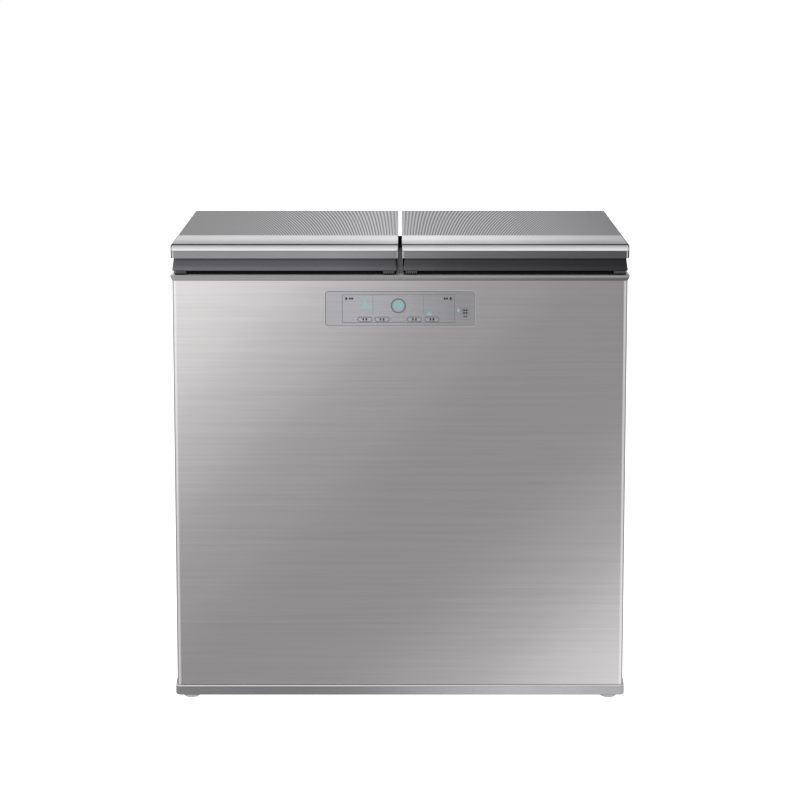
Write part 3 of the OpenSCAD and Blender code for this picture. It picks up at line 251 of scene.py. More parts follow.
def mottled(material, shader, colour, grains, low, high, detail=3.0):
    """Gives a shader a colour that noise makes a little darker here and lighter there."""
    cloud = swing(material, noise_on(material, grains, detail), low, high)
    link(material, shaded_by(material, colour, cloud), shader.inputs["Base Color"])


def relief(material, shader, height, depth):
    """Bump of a height from 0 to 1, depth metres deep."""
    made = node(material, "ShaderNodeBump", {"Height": height, "Distance": depth, "Strength": 1.0})
    link(material, made.outputs[0], shader.inputs["Normal"])


def dress(material, *names):
    """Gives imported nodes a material."""
    for name in names:
        for place in nodes[name].material_slots:
            place.material = material


# ---------------------------------------------------------------- front panel
# One stainless sheet with rounded upright edges, brushed along its width. A painted reflection falls from the
# upper left to a darker diagonal and rises again towards the lower right.

sheet_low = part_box("front_panel")[0].z
# the slope of the painted reflection's bands, and where they begin and end
sheen_slope = 1.06
sheen_low, sheen_high = -1.347, 0.393
# distances from the middle of the painted highlight on the rounded edge, and of the painted shade on the fold
# past it
edge_in, edge_out = 0.4495, 0.4512
fold_in, fold_out = 0.4545, 0.4555
edge_light, fold_shade = 0.37, 0.42
# the returned flange starts here
flange_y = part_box("front_panel")[0].y + 0.006
flange_end = flange_y + 0.001
# the painted shade over the sheet's lowest rows
foot_low, foot_high, foot_shade = sheet_low + 0.001, sheet_low + 0.0022, 0.62

steel, steel_shader = finish_of("brushed steel", level(160), 0.38, metal=1.0)
sheen = ramp(steel, along(steel, (1, 0, -sheen_slope)), sheen_low, sheen_high,
             [(0, 203), (0.14, 180), (0.28, 152), (0.42, 136), (0.56, 129), (0.72, 136), (0.86, 158),
              (1, 184)], steel_tint)
long_streaks = noise_on(steel, (2.2, 2, 190), 3)
fine_streaks = noise_on(steel, (9, 2, 900), 2)
streaks = maths(steel, "ADD", swing(steel, long_streaks, 0.955, 1.035),
                swing(steel, fine_streaks, -0.035, 0.035))
steel_out, steel_depth = off_middle(steel), along(steel, BACK)
with_light = blended(steel, spread(steel, steel_out, edge_in, edge_out, 0, edge_light),
                     shaded_by(steel, sheen, streaks), level(236))
on_fold = times(steel, spread(steel, steel_out, fold_in, fold_out, 0, 1),
                spread(steel, steel_depth, flange_y, flange_end, 1, 0))
with_fold = shaded_by(steel, with_light, spread(steel, on_fold, 0, 1, 1, fold_shade))
on_flange = spread(steel, steel_depth, flange_y, flange_end, 0, 1)
with_flange = blended(steel, on_flange, with_fold, level(150, steel_tint))
foot_tone = spread(steel, along(steel, UP), foot_low, foot_high, foot_shade, 1)
link(steel, shaded_by(steel, with_flange, foot_tone), steel_shader.inputs["Base Color"])
link(steel, spread(steel, fine_streaks, 0.25, 0.75, 0.33, 0.45), steel_shader.inputs["Roughness"])
relief(steel, steel_shader, fine_streaks, 0.00002)
dress(steel, "front_panel")

# ---------------------------------------------------------------- side panels
# Sheet steel painted before folding, silver grey, with the fine pebbled skin of such paint.

side_paint, side_shader = finish_of("side paint", level(150), 0.42, gloss=0.4)
pebble = noise_on(side_paint, (900, 900, 900), 2)
mottled(side_paint, side_shader, level(152), (4, 4, 4), 0.96, 1.03)
link(side_paint, swing(side_paint, pebble, 0.38, 0.5), side_shader.inputs["Roughness"])
relief(side_paint, side_shader, pebble, 0.00006)
dress(side_paint, "left_side_panel", "right_side_panel")

# ---------------------------------------------------------------- back and inner sheets
# Bare zinc-coated steel: the back, the rear cover, the base pan, the sheet over the compartment and the
# folded brackets. The coat shows its crystals as faint flat patches, and faint noise makes its tone uneven.

zinc, zinc_shader = finish_of("zinc coated steel", level(165), 0.42, metal=1.0)
crystals = node(zinc, "ShaderNodeTexVoronoi", {"Vector": place_on(zinc), "Scale": 95.0}).outputs["Color"]
crystal = node(zinc, "ShaderNodeSeparateColor", {0: crystals}).outputs[0]
zinc_tone = maths(zinc, "ADD", spread(zinc, crystal, 0, 1, 0.9, 1.06),
                  swing(zinc, noise_on(zinc, (7, 7, 7), 4), -0.05, 0.04))
link(zinc, shaded_by(zinc, level(168, cool_tint), zinc_tone), zinc_shader.inputs["Base Color"])
link(zinc, spread(zinc, crystal, 0, 1, 0.34, 0.5), zinc_shader.inputs["Roughness"])
dress(zinc, "back_panel", "machine_cover", "base_pan", "bulkhead", "hinge_brackets", "roller_brackets")

# ---------------------------------------------------------------- top frame, plinth and hinge covers
# Injection-moulded grey plastic with a silver skin. The frame's nose and the plinth carry painted highlights
# along their upper edges, the frame is painted darker and the plinth painted lighter towards the right.


def across(material, stops, tint=cool_tint):
    """Greys across the appliance's width, from its left side to its right."""
    return ramp(material, along(material, RIGHT), cad_low.x, cad_high.x, stops, tint)


def moulded(name, colour, rough=0.38, gloss=0.35, grain=0.00003):
    """Moulded plastic: faint clouding and the fine grain of an eroded mould. Also returns the clouding."""
    material, shader = finish_of(name, colour, rough, gloss=gloss)
    cloud = swing(material, noise_on(material, (11, 11, 11)), 0.97, 1.02)
    link(material, shaded_by(material, colour, cloud), shader.inputs["Base Color"])
    grains = noise_on(material, (1400, 1400, 1400), 1)
    link(material, swing(material, grains, rough - 0.05, rough + 0.06), shader.inputs["Roughness"])
    relief(material, shader, grains, grain)
    return material, shader, cloud


def lit_edge(material, colour, height, thickness, seen):
    """Lays a painted highlight line along a moulding's upper edge."""
    near = maths(material, "ABSOLUTE", maths(material, "SUBTRACT", along(material, UP), height))
    return blended(material, spread(material, near, thickness * 0.5, thickness, 1, 0), colour, level(seen))


frame_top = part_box("top_frame")[1].z
nose_height = 0.0117
# half the width of the painted shade under the gap between the lids, and where it starts and ends
gap_in, gap_out = 0.0035, 0.0055
gap_front, gap_back = -0.36, 0.33
# the frame mirrors this much, and less under the gap
frame_gloss = 0.35
frame_skin, frame_shader, frame_cloud = moulded("frame plastic", level(140))
# painted shade: the frame grows darker towards the right
frame_colour = across(frame_skin, [(0, 158), (0.3, 150), (0.55, 132), (0.8, 108), (1, 96)])
# painted shade and highlight lines along the nose: (share of its height, tone)
nose_share = node(frame_skin, "ShaderNodeFloatCurve",
                  {"Value": spread(frame_skin, along(frame_skin, UP), frame_top - nose_height, frame_top,
                                   0, 1)})
nose_curve = nose_share.mapping.curves[0]
nose_curve.points[0].location = (0, 0.42)
nose_curve.points[1].location = (1, 0.5)
for share, tone in ((0.1, 0.3), (0.2, 0.32), (0.34, 0.68), (0.46, 0.34), (0.54, 0.36), (0.66, 0.5),
                    (0.8, 0.5)):
    nose_curve.points.new(share, tone)
nose_share.mapping.update()
frame_colour = shaded_by(frame_skin, frame_colour, spread(frame_skin, nose_share.outputs[0], 0, 1, 0.2, 1.8))
# a painted highlight along the frame's top edge
frame_colour = lit_edge(frame_skin, frame_colour, frame_top - 0.003, 0.003, 142)
# painted shade on the divider under the gap between the lids, darker towards the back
under_gap = spread(frame_skin, off_middle(frame_skin), gap_in, gap_out, 1, 0)
frame_depth = along(frame_skin, BACK)
divider_gap_shade = ramp(frame_skin, frame_depth, gap_front, gap_back,
                 [(0, 150), (0.35, 142), (0.6, 92), (0.78, 46), (1, 8)])
gloss_lost = times(frame_skin, under_gap, spread(frame_skin, frame_depth, -0.37, 0.1, 0.08, frame_gloss))
link(frame_skin, maths(frame_skin, "SUBTRACT", frame_gloss, gloss_lost),
     frame_shader.inputs["Specular IOR Level"])
behind_nose = spread(frame_skin, frame_depth, gap_front - 0.006, gap_front, 0, 1)
frame_colour = blended(frame_skin, times(frame_skin, under_gap, behind_nose), frame_colour, divider_gap_shade)
link(frame_skin, shaded_by(frame_skin, frame_colour, frame_cloud), frame_shader.inputs["Base Color"])
dress(frame_skin, "top_frame")

plinth_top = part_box("front_panel")[0].z
plinth_skin, plinth_shader, plinth_cloud = moulded("plinth plastic", level(130))
# painted light: the plinth grows lighter towards the right, and carries a painted highlight along its upper
# edge
plinth_colour = across(plinth_skin, [(0, 122), (0.3, 119), (0.45, 138), (0.56, 160), (0.68, 178),
                                     (0.82, 185), (1, 176)])
plinth_colour = lit_edge(plinth_skin, plinth_colour, plinth_top - 0.0005, 0.0027, 196)
link(plinth_skin, shaded_by(plinth_skin, plinth_colour, plinth_cloud), plinth_shader.inputs["Base Color"])
dress(plinth_skin, "plinth")

cover_skin = moulded("hinge cover plastic", level(138))[0]
dress(cover_skin, "hinge_covers")

# ---------------------------------------------------------------- feet and rollers
# Levelling feet of milky nylon, and rear rollers of dark nylon on riveted axles.

foot_skin, foot_shader, _ = moulded("milky nylon", level(222), rough=0.3, gloss=0.5)
foot_shader.inputs["Subsurface Weight"].default_value = 0.3
foot_shader.inputs["Subsurface Scale"].default_value = 0.01
dress(foot_skin, "left_foot", "right_foot")
dark_skin = moulded("dark nylon", level(52), rough=0.5)[0]
dress(dark_skin, "left_roller", "right_roller", "fan_motor", "power_inlet", "temperature_sensors",
      "control_housing")

# ---------------------------------------------------------------- insulation and wells
# Liners of white polystyrene sheet, drawn into shape, with cream foam poured round them. Their satin skin is
# a little uneven where the sheet was stretched thin. Copper tubes lie round the wells.

liner_skin, liner_shader, _ = moulded("white liner", level(228), rough=0.3, gloss=0.5, grain=0.00001)
relief(liner_skin, liner_shader, noise_on(liner_skin, (5, 5, 2), 2), 0.0008)
dress(liner_skin, "left_liner", "right_liner", "left_lid_liner", "right_lid_liner", "drain_plugs")

foam_skin, foam_shader = finish_of("poured foam", (0.78, 0.66, 0.38, 1), 0.85, gloss=0.2)
foam_cells = node(foam_skin, "ShaderNodeTexVoronoi",
                  {"Vector": place_on(foam_skin), "Scale": 700.0}).outputs[0]
foam_tone = blended(foam_skin, foam_cells, (0.80, 0.68, 0.40, 1), (0.66, 0.53, 0.28, 1))
link(foam_skin, foam_tone, foam_shader.inputs["Base Color"])
relief(foam_skin, foam_shader, foam_cells, 0.0004)
dress(foam_skin, "foam_insulation", "left_lid_foam", "right_lid_foam")

copper, copper_shader = finish_of("drawn copper", (0.72, 0.36, 0.2, 1), 0.3, metal=1.0)
tarnish = noise_on(copper, (60, 60, 60), 4)
copper_tone = blended(copper, tarnish, (0.80, 0.42, 0.25, 1), (0.42, 0.2, 0.11, 1))
link(copper, copper_tone, copper_shader.inputs["Base Color"])
link(copper, swing(copper, tarnish, 0.25, 0.5), copper_shader.inputs["Roughness"])
dress(copper, "left_evaporator", "right_evaporator", "refrigerant_lines")

# ---------------------------------------------------------------- machine compartment
# A black enamelled compressor on rubber grommets, a painted condenser with pressed fins, a pale plastic fan
# and control box.

enamel, enamel_shader = finish_of("black enamel", level(42), 0.32, gloss=0.5, coat=0.3)
enamel_skin = noise_on(enamel, (260, 260, 260), 2)
link(enamel, swing(enamel, enamel_skin, 0.25, 0.42), enamel_shader.inputs["Roughness"])
relief(enamel, enamel_shader, enamel_skin, 0.0001)
dress(enamel, "compressor")

fin_metal, fin_shader = finish_of("painted fins", level(118), 0.4, metal=0.6)
mottled(fin_metal, fin_shader, level(122), (80, 80, 80), 0.8, 1.05, detail=4)
dress(fin_metal, "condenser")

rubber, rubber_shader = finish_of("black rubber", level(20), 0.7, gloss=0.12)
mottled(rubber, rubber_shader, level(20), (130, 130, 130), 0.8, 1.25)
relief(rubber, rubber_shader, noise_on(rubber, (1500, 1500, 1500), 1), 0.00004)
dress(rubber, "compressor_mounts", "left_lid_gasket", "right_lid_gasket")

# small ribbed blocks: painted highlights on the ribs at the top, painted shade below
rib_pitch = 0.0041
bumper_skin, bumper_shader, _ = moulded("bumper rubber", level(58), rough=0.6, gloss=0.15)
bumper_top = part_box("lid_bumpers")[1].z
ribs = maths(bumper_skin, "SINE", times(bumper_skin, along(bumper_skin, RIGHT), 2 * math.pi / rib_pitch))
painted_rib_highlights = blended(bumper_skin, spread(bumper_skin, ribs, -1, 1, 0, 1), level(30), level(108))
ribbed = spread(bumper_skin, along(bumper_skin, UP), bumper_top - 0.0048, bumper_top - 0.004, 0, 1)
link(bumper_skin, blended(bumper_skin, ribbed, level(12), painted_rib_highlights), bumper_shader.inputs["Base Color"])
dress(bumper_skin, "lid_bumpers")

pale_skin = moulded("pale plastic", level(214), rough=0.4)[0]
dress(pale_skin, "fan_blade", "main_board")

board_green = (0.03, 0.16, 0.07, 1)
board, board_shader = finish_of("circuit board", board_green, 0.35, gloss=0.5)
tracks = node(board, "ShaderNodeTexBrick",
              {"Vector": place_on(board), "Scale": 160.0, "Color1": board_green,
               "Color2": (0.04, 0.2, 0.09, 1), "Mortar": (0.05, 0.3, 0.12, 1)})
link(board, tracks.outputs["Color"], board_shader.inputs["Base Color"])
dress(board, "display_board")

# ---------------------------------------------------------------- lid covers
# Each is a silver-painted moulding with a chamfered front edge and a glossy plain strip behind it. The tones
# of the strip, the chamfer and the band below it are painted reflections, highlights and shade, laid on by
# height, depth and place across the width.

cover_low, cover_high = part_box("right_lid_cover")
lid_top, lid_front = cover_high.z, cover_low.y
lid_side, gap_side = cover_high.x, cover_low.x
bevel_low = lid_top - 0.0102
panel_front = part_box("left_lid_panel")[0].y
panel_seam = panel_front + 0.002
silver_gloss = 0.12

silver, silver_shader, silver_cloud = moulded("silver lid", level(170), rough=0.4, gloss=silver_gloss,
                                              grain=0.00001)
depth_way, upright, side_out = along(silver, BACK), along(silver, UP), off_middle(silver)


def on_silver(value, low, high, out_low=0, out_high=1):
    return spread(silver, value, low, high, out_low, out_high)


# painted reflection: the plain strip darkens from the patterned sheet to the front edge, and from its middle
# to both sides
strip = ramp(silver, depth_way, lid_front + 0.006, panel_front,
             [(0, 70), (0.06, 78), (0.1, 138), (0.133, 172), (0.222, 196), (0.31, 206), (0.4, 216),
              (0.49, 229), (0.59, 237), (0.7, 243), (0.77, 243), (0.87, 238), (1, 214)], cool_tint)
fall_front = across(silver, [(0, 211), (0.2, 211), (0.284, 211), (0.37, 220), (0.457, 238), (0.546, 255),
                             (0.63, 242), (0.716, 239), (0.8, 228), (0.89, 208), (1, 200)], plain_tint)
fall_back = across(silver, [(0, 218), (0.11, 227), (0.2, 228), (0.284, 235), (0.37, 240), (0.457, 248),
                            (0.546, 255), (0.63, 245), (0.716, 237), (0.8, 226), (0.89, 210), (1, 192)],
                   plain_tint)
strip_fall = blended(silver, on_silver(depth_way, -0.335, -0.235), fall_front, fall_back)
strip = blended(silver, 1.0, strip, strip_fall, "MULTIPLY")
# the darker the strip, the less it mirrors
strip_gloss = on_silver(strip, 0.11, 0.8, 0, silver_gloss)
# painted shade that evens out the lamps' stronger light on the left of the strip
lamp_even = across(silver, [(0, 194), (0.197, 197), (0.284, 200), (0.37, 212), (0.457, 227), (0.546, 238),
                            (0.63, 241), (0.716, 244), (0.8, 241), (1, 239)], plain_tint)
strip = blended(silver, 1.0, strip, lamp_even, "MULTIPLY")
# a line along the seam with the sheet, with painted shade towards the sides
rim_tone = across(silver, [(0, 118), (0.25, 132), (0.5, 176), (0.75, 128), (1, 100)])
strip = blended(silver, on_silver(depth_way, panel_front, panel_seam), strip, rim_tone)
# painted shade: the band darkens towards the right
band = across(silver, [(0, 138), (0.25, 140), (0.4, 138), (0.5, 124), (0.62, 105), (0.75, 92), (1, 76)])
# thin painted highlights where the band turns at its corners, and the painted shade past them
by_front = on_silver(depth_way, lid_front + 0.005, lid_front + 0.006, 1, 0)
outer_light = times(silver, on_silver(side_out, lid_side - 0.0063, lid_side - 0.0055),
                    on_silver(side_out, lid_side - 0.0036, lid_side - 0.003, 1, 0))
gap_light = on_silver(side_out, gap_side + 0.003, gap_side + 0.004, 1, 0)
corner_light = times(silver, maths(silver, "MAXIMUM", outer_light, gap_light), by_front)
band = blended(silver, corner_light, band, level(188))
corner_shade = times(silver, by_front, on_silver(side_out, lid_side - 0.0031, lid_side - 0.0024))
band = shaded_by(silver, band, on_silver(corner_shade, 0, 1, 1, 0.25))
# a faint painted shade line under the chamfer
band = shaded_by(silver, band, on_silver(upright, bevel_low - 0.003, bevel_low - 0.002, 1, 0.8))
# painted highlight on the chamfer, brightest near its foot
chamfer = ramp(silver, upright, bevel_low - 0.0005, lid_top - 0.0006,
               [(0, 190), (0.14, 228), (0.32, 212), (0.55, 200), (0.75, 180), (1, 172)], cool_tint)
chamfer = shaded_by(silver, chamfer, on_silver(corner_shade, 0, 1, 1, 0.3))
on_chamfer = times(silver, on_silver(upright, bevel_low - 0.0012, bevel_low - 0.0004),
                   on_silver(depth_way, lid_front + 0.0074, lid_front + 0.0078, 1, 0))
on_top = on_silver(upright, lid_top - 0.0009, lid_top - 0.0004)
whole = blended(silver, on_top, blended(silver, on_chamfer, band, chamfer), strip)
on_strip = times(silver, on_top, on_silver(depth_way, panel_front, panel_seam, 1, 0))
link(silver, node(silver, "ShaderNodeMix", {0: on_strip, 2: silver_gloss, 3: strip_gloss}).outputs[0],
     silver_shader.inputs["Specular IOR Level"])
# painted shade on the walls that face each other across the gap
in_gap = on_silver(side_out, gap_side + 0.0007, gap_side + 0.001, 1, 0)
whole = blended(silver, in_gap, whole, level(24))
# painted shade: the fine bevel along the outer side is drawn as a dark line
side_bevel = times(silver, on_silver(side_out, lid_side - 0.003, lid_side - 0.0026),
                   on_silver(upright, lid_top - 0.0016, lid_top - 0.0012))
whole = blended(silver, side_bevel, whole, level(78))
link(silver, shaded_by(silver, whole, silver_cloud), silver_shader.inputs["Base Color"])
dress(silver, "left_lid_cover", "right_lid_cover")

# ---------------------------------------------------------------- patterned sheets
# A thin sheet is let into each lid behind the strip. Its fine ribs curve outwards from front to back: their
# pitch is even across the lid and widens to the back.

# ribs in a metre at the middle of the depth, and how many fewer a metre further back
ribs_per_metre = 157.9
ribs_lost = 102.3

patterned, patterned_shader = finish_of("patterned sheet", level(120), 0.6, gloss=0.08)
side_way = off_middle(patterned)
ribs_here = maths(patterned, "SUBTRACT", ribs_per_metre, times(patterned, along(patterned, BACK), ribs_lost))
rib_count = times(patterned, side_way, ribs_here)
wave = maths(patterned, "SINE", times(patterned, rib_count, 2 * math.pi))
# the ribs stand out more towards the outer side, and then fade
strength = times(patterned, spread(patterned, side_way, 0, 0.2, 0.75, 1.45),
                 spread(patterned, side_way, 0.22, 0.38, 1, 0))
lines = times(patterned, wave, strength)
# painted light: the sheet is lighter near the middle and darker towards both sides
plain_tone = across(patterned, [(0, 106), (0.2, 124), (0.37, 148), (0.46, 160), (0.54, 150), (0.75, 143),
                                (0.88, 133), (1, 118)])
rib_tone = shaded_by(patterned, plain_tone, spread(patterned, lines, -1, 1, 0.42, 1.62))
link(patterned, rib_tone, patterned_shader.inputs["Base Color"])
relief(patterned, patterned_shader, spread(patterned, lines, -1, 1, 0, 1), 0.00012)
dress(patterned, "left_lid_panel", "right_lid_panel")

# ---------------------------------------------------------------- lid frames
# The dark moulding under each cover, which carries the gasket. It is painted darker towards the right and
# lighter along its foot, as painted light, and painted shade turns it black where it faces the gap.

frame_tint = (0.975, 0.965, 1.06)
frame_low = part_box("left_lid_frame")[0].z
dark_frame, dark_frame_shader, dark_frame_cloud = moulded("dark lid frame", level(80), rough=0.4, gloss=0.12)
dark_across = across(dark_frame, [(0, 86), (0.25, 84), (0.4, 80), (0.6, 57), (0.8, 44), (1, 34)], frame_tint)
foot_light = spread(dark_frame, along(dark_frame, UP), frame_low + 0.005, frame_low + 0.012, 1.5, 1.0)
dark_tone = shaded_by(dark_frame, shaded_by(dark_frame, dark_across, dark_frame_cloud), foot_light)
by_gap = spread(dark_frame, off_middle(dark_frame), gap_side + 0.008, gap_side + 0.009, 1, 0)
behind_front = spread(dark_frame, along(dark_frame, BACK), lid_front + 0.02, lid_front + 0.05, 0, 1)
lid_frame_gap_shade = times(dark_frame, by_gap, behind_front)
link(dark_frame, blended(dark_frame, lid_frame_gap_shade, dark_tone, level(18)), dark_frame_shader.inputs["Base Color"])
dress(dark_frame, "left_lid_frame", "right_lid_frame")

# ---------------------------------------------------------------- hinges
# Arms of the same folded sheet as the brackets, and counterbalance springs of dark drawn wire.

dress(zinc, "left_hinge_arms", "right_hinge_arms")
spring_steel, spring_shader = finish_of("spring steel", level(96), 0.34, metal=1.0)
mottled(spring_steel, spring_shader, level(100), (200, 200, 200), 0.8, 1.15)
dress(spring_steel, "hinge_springs")

# ---------------------------------------------------------------- control panel
# A bluish grey printed plate clipped into the front. Thin printed outlines frame the window, the buttons and
# the round display; lamps behind the plate shine through in pale cyan. Marks beside them are plain shapes.

mm = 0.001
panel_low, panel_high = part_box("control_panel")
panel_middle = (panel_low + panel_high) / 2
ink_lift = 0.12 * mm

plate_tint = (1.0, 0.985, 1.035)
panel_streaks = (10, 2, 500)


def over_panel(material, stops, tint=plain_tint):
    """Greys across the control panel, from its left side to its right."""
    return ramp(material, along(material, RIGHT), panel_low.x, panel_high.x, stops, tint)


panel_skin, panel_shader = finish_of("panel plate", level(150, plate_tint), 0.36, gloss=0.2)
# painted shade: the plate darkens towards the right
panel_tone = over_panel(panel_skin, [(0, 167), (0.3, 164), (0.55, 154), (0.8, 141), (1, 137)], plate_tint)
mottled(panel_skin, panel_shader, panel_tone, panel_streaks, 0.94, 1.06, detail=2)
link(panel_skin, swing(panel_skin, noise_on(panel_skin, panel_streaks, 2), 0.32, 0.42),
     panel_shader.inputs["Roughness"])
dress(panel_skin, "control_panel")

button_skin, button_shader = finish_of("button caps", level(140, plate_tint), 0.34, gloss=0.2)
# painted shade: the buttons darken towards the right
button_tone = over_panel(button_skin, [(0, 170), (0.3, 167), (0.55, 157), (0.8, 144), (1, 139)], plate_tint)
mottled(button_skin, button_shader, button_tone, panel_streaks, 0.96, 1.04, detail=2)
dress(button_skin, "button_left_warm", "button_left_cool", "button_right_warm", "button_right_cool",
      "button_lock")

window_cyan = (0.27, 0.39, 0.405, 1)
ring_x, ring_y = -3.3, 5.9
ring_middle = (panel_middle.x + ring_x * mm, panel_low.y, panel_middle.z + ring_y * mm)
lens_skin, lens_shader = finish_of("display window", window_cyan, 0.2, gloss=0.3, coat=0.2)
ring_reach = node(lens_skin, "ShaderNodeVectorMath", {0: place_on(lens_skin), 1: ring_middle},
                  operation="DISTANCE").outputs["Value"]
on_ring = spread(lens_skin, ring_reach, 12.7 * mm, 13.0 * mm, 0, 1)
window_tone = blended(lens_skin, spread(lens_skin, ring_reach, 7 * mm, 12.5 * mm, 0, 1), window_cyan,
                      level(150, plate_tint))
link(lens_skin, blended(lens_skin, on_ring, window_tone, level(96)), lens_shader.inputs["Base Color"])
dress(lens_skin, "display_lens")


def ink(name, colour, glow=0.0):
    """A printing ink, or with a glow the skin of a lamp behind the plate."""
    material, shader = finish_of(name, colour, 0.4, gloss=0.3)
    mottled(material, shader, colour, (2500, 2500, 2500), 0.93, 1.05, detail=1)
    if glow:
        shader.inputs["Emission Color"].default_value = colour
        shader.inputs["Emission Strength"].default_value = glow
    return material


# painted light: the outlines grow lighter towards the right and along the plate's lower edge
line_ink, line_shader = finish_of("outline ink", level(98), 0.4, gloss=0.3)
line_tone = over_panel(line_ink, [(0, 94), (0.6, 100), (0.86, 112), (0.93, 128), (1, 136)])
low_line = spread(line_ink, along(line_ink, UP), panel_low.z + 2 * mm, panel_low.z + 4 * mm, 0.6, 0)
link(line_ink, blended(line_ink, low_line, line_tone, level(150)), line_shader.inputs["Base Color"])
faint_ink = ink("faint ink", level(128))
rim_highlight_ink = ink("painted cut edge highlight", level(190))
dark_ink = ink("dark ink", level(14))
lamp_ink = ink("cyan lamp", (0.25, 0.46, 0.48, 1), 0.04)
digit_ink = ink("cyan digit", (0.15, 0.57, 0.58, 1), 0.09)


def rounded_sheet(width, height, radius, steps=6):
    """A flat rounded rectangle about the origin, facing +Z."""
    shape = bmesh.new()
    bmesh.ops.create_grid(shape, x_segments=1, y_segments=1, size=0.5)
    bmesh.ops.scale(shape, vec=(width, height, 1), verts=shape.verts)
    bmesh.ops.bevel(shape, geom=shape.verts[:], offset=radius, segments=steps, profile=0.5, affect="VERTICES",
                    material=-1)
    return shape


def thickened(shape, thickness):
    """Gives a flat shape a thickness up from z = 0."""
    """Gives a flat shape a thickness up from z = 0."""
    risen = bmesh.ops.extrude_face_region(shape, geom=shape.faces[:], use_keep_orig=True)["geom"]
    corners = [part for part in risen if isinstance(part, bmesh.types.BMVert)]
    bmesh.ops.translate(shape, vec=(0, 0, thickness), verts=corners)
    bmesh.ops.recalc_face_normals(shape, faces=shape.faces)
    return shape


def frame_of(width, height, radius, line):
    """A thin printed frame, in millimetres: a rounded sheet with its inside taken out."""
    shape = rounded_sheet(width * mm, height * mm, radius * mm)
    ring = set(bmesh.ops.inset_region(shape, faces=shape.faces[:], thickness=line * mm, use_boundary=True,
                                      use_even_offset=True)["faces"])
    bmesh.ops.delete(shape, geom=[face for face in shape.faces if face not in ring], context="FACES")
    return thickened(shape, ink_lift)


def block(width, height, radius=0.5):
    """A small printed block, in millimetres."""
    return thickened(rounded_sheet(width * mm, height * mm, radius * mm, 2), ink_lift)


def put(target, shape, place):
    """Adds a shape to a larger one at a place, and frees it."""
    bmesh.ops.transform(shape, matrix=place, verts=shape.verts)
    passing = bpy.data.meshes.new("passing")
    shape.to_mesh(passing)
    shape.free()
    target.from_mesh(passing)
    bpy.data.meshes.remove(passing)


def in_order(parts, place_of):
    """Sorts corners or faces by their places, so that each run writes the same mesh."""
    ranked = sorted(parts, key=lambda part: tuple(place_of(part)))
    ranks = {part: rank for rank, part in enumerate(ranked)}
    parts.sort(key=ranks.get)


def piece(name, shape, material, body):
    """Makes the finished shape an object that rides on a body."""
    in_order(shape.verts, lambda corner: corner.co)
    in_order(shape.faces, lambda face: face.calc_center_median())
    mesh = bpy.data.meshes.new(name)
    shape.to_mesh(mesh)
    shape.free()
    mesh.materials.append(material)
    made = bpy.data.objects.new(name, mesh)
    bpy.context.scene.collection.objects.link(made)
    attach(made, body)


out_of_panel = Matrix(((1, 0, 0), (0, 0, -1), (0, 1, 0))).to_4x4()


def on_panel(x, y, proud=0.0):
    """Place on the plate's face: millimetres right of and above its middle, and proud of it."""
    spot = Matrix.Translation((panel_middle.x + x * mm, panel_low.y - proud, panel_middle.z + y * mm))
    return spot @ out_of_panel


pill_places = [-70.7, -36.1, 29.1, 64.3]
pill_names = ["button_left_warm", "button_left_cool", "button_right_warm", "button_right_cool"]
pill_y, pill_length, pill_height = -21.7, 29.3, 10.0
lock_place = (131.3, -5.9)
button_proud = panel_low.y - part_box("button_lock")[0].y
window_x, marks_y = -3.1, 20.5
plate_width, plate_height = (panel_high.x - panel_low.x) / mm, (panel_high.z - panel_low.z) / mm
steel_back = panel_low.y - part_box("front_panel")[0].y


prints = bmesh.new()
put(prints, frame_of(plate_width - 1.4, plate_height - 1.4, 6.4, 1.0), on_panel(0, 0))
put(prints, frame_of(227, 57.4, 1.2, 0.9), on_panel(window_x, 0))
piece("panel_outlines", prints, line_ink, "cabinet")

# a painted highlight round the cut in the steel that holds the plate
bright_rim = bmesh.new()
put(bright_rim, frame_of(plate_width + 2.2, plate_height + 2.2, 8.2, 1.0), on_panel(0, 0, steel_back))
piece("panel_rim_highlight", bright_rim, rim_highlight_ink, "cabinet")

faint = bmesh.new()
put(faint, frame_of(pill_length, pill_height, pill_height / 2 - 0.1, 0.7), on_panel(ring_x, pill_y))
for x in (-54.5, 46.9):
    put(faint, block(0.8, 40, 0.2), on_panel(x, 8))
piece("panel_dividers", faint, faint_ink, "cabinet")

marks = bmesh.new()
for side in (-1, 1):
    put(marks, block(4.4, 5.4, 1.4), on_panel(105 * side + window_x, marks_y))
    for step in (0, 1):
        put(marks, block(3.6, 4.0), on_panel((97.6 - 4.6 * step) * side + window_x, marks_y))
piece("panel_marks", marks, dark_ink, "cabinet")

for name, x in zip(pill_names, pill_places):
    border = bmesh.new()
    put(border, frame_of(pill_length - 0.6, pill_height - 0.6, pill_height / 2 - 0.4, 0.9),
        on_panel(x, pill_y, button_proud))
    piece(name + "_border", border, line_ink, name)
    legend = bmesh.new()
    for step, width in ((-3.2, 3.8), (2.9, 4.4)):
        put(legend, block(width, 2.1), on_panel(x + step, pill_y + 1.25, button_proud))
        put(legend, block(width - 1, 2.0), on_panel(x + step, pill_y - 1.25, button_proud))
    piece(name + "_legend", legend, dark_ink, name)

lock_border = bmesh.new()
put(lock_border, frame_of(13.4, 12.4, 3.4, 0.7), on_panel(*lock_place, button_proud))
piece("button_lock_border", lock_border, line_ink, "button_lock")
lock_legend = bmesh.new()
for x in (-2.5, 2.5):
    for y in (2.6, -2.6):
        put(lock_legend, block(3.9, 3.4, 0.8), on_panel(lock_place[0] + x, lock_place[1] + y, button_proud))
piece("button_lock_legend", lock_legend, dark_ink, "button_lock")
lock_note = bmesh.new()
for x in (-2.1, 2.1):
    put(lock_note, block(3.2, 2.2, 0.6), on_panel(lock_place[0] + x, lock_place[1] - 10.2))
piece("panel_lock_note", lock_note, dark_ink, "cabinet")

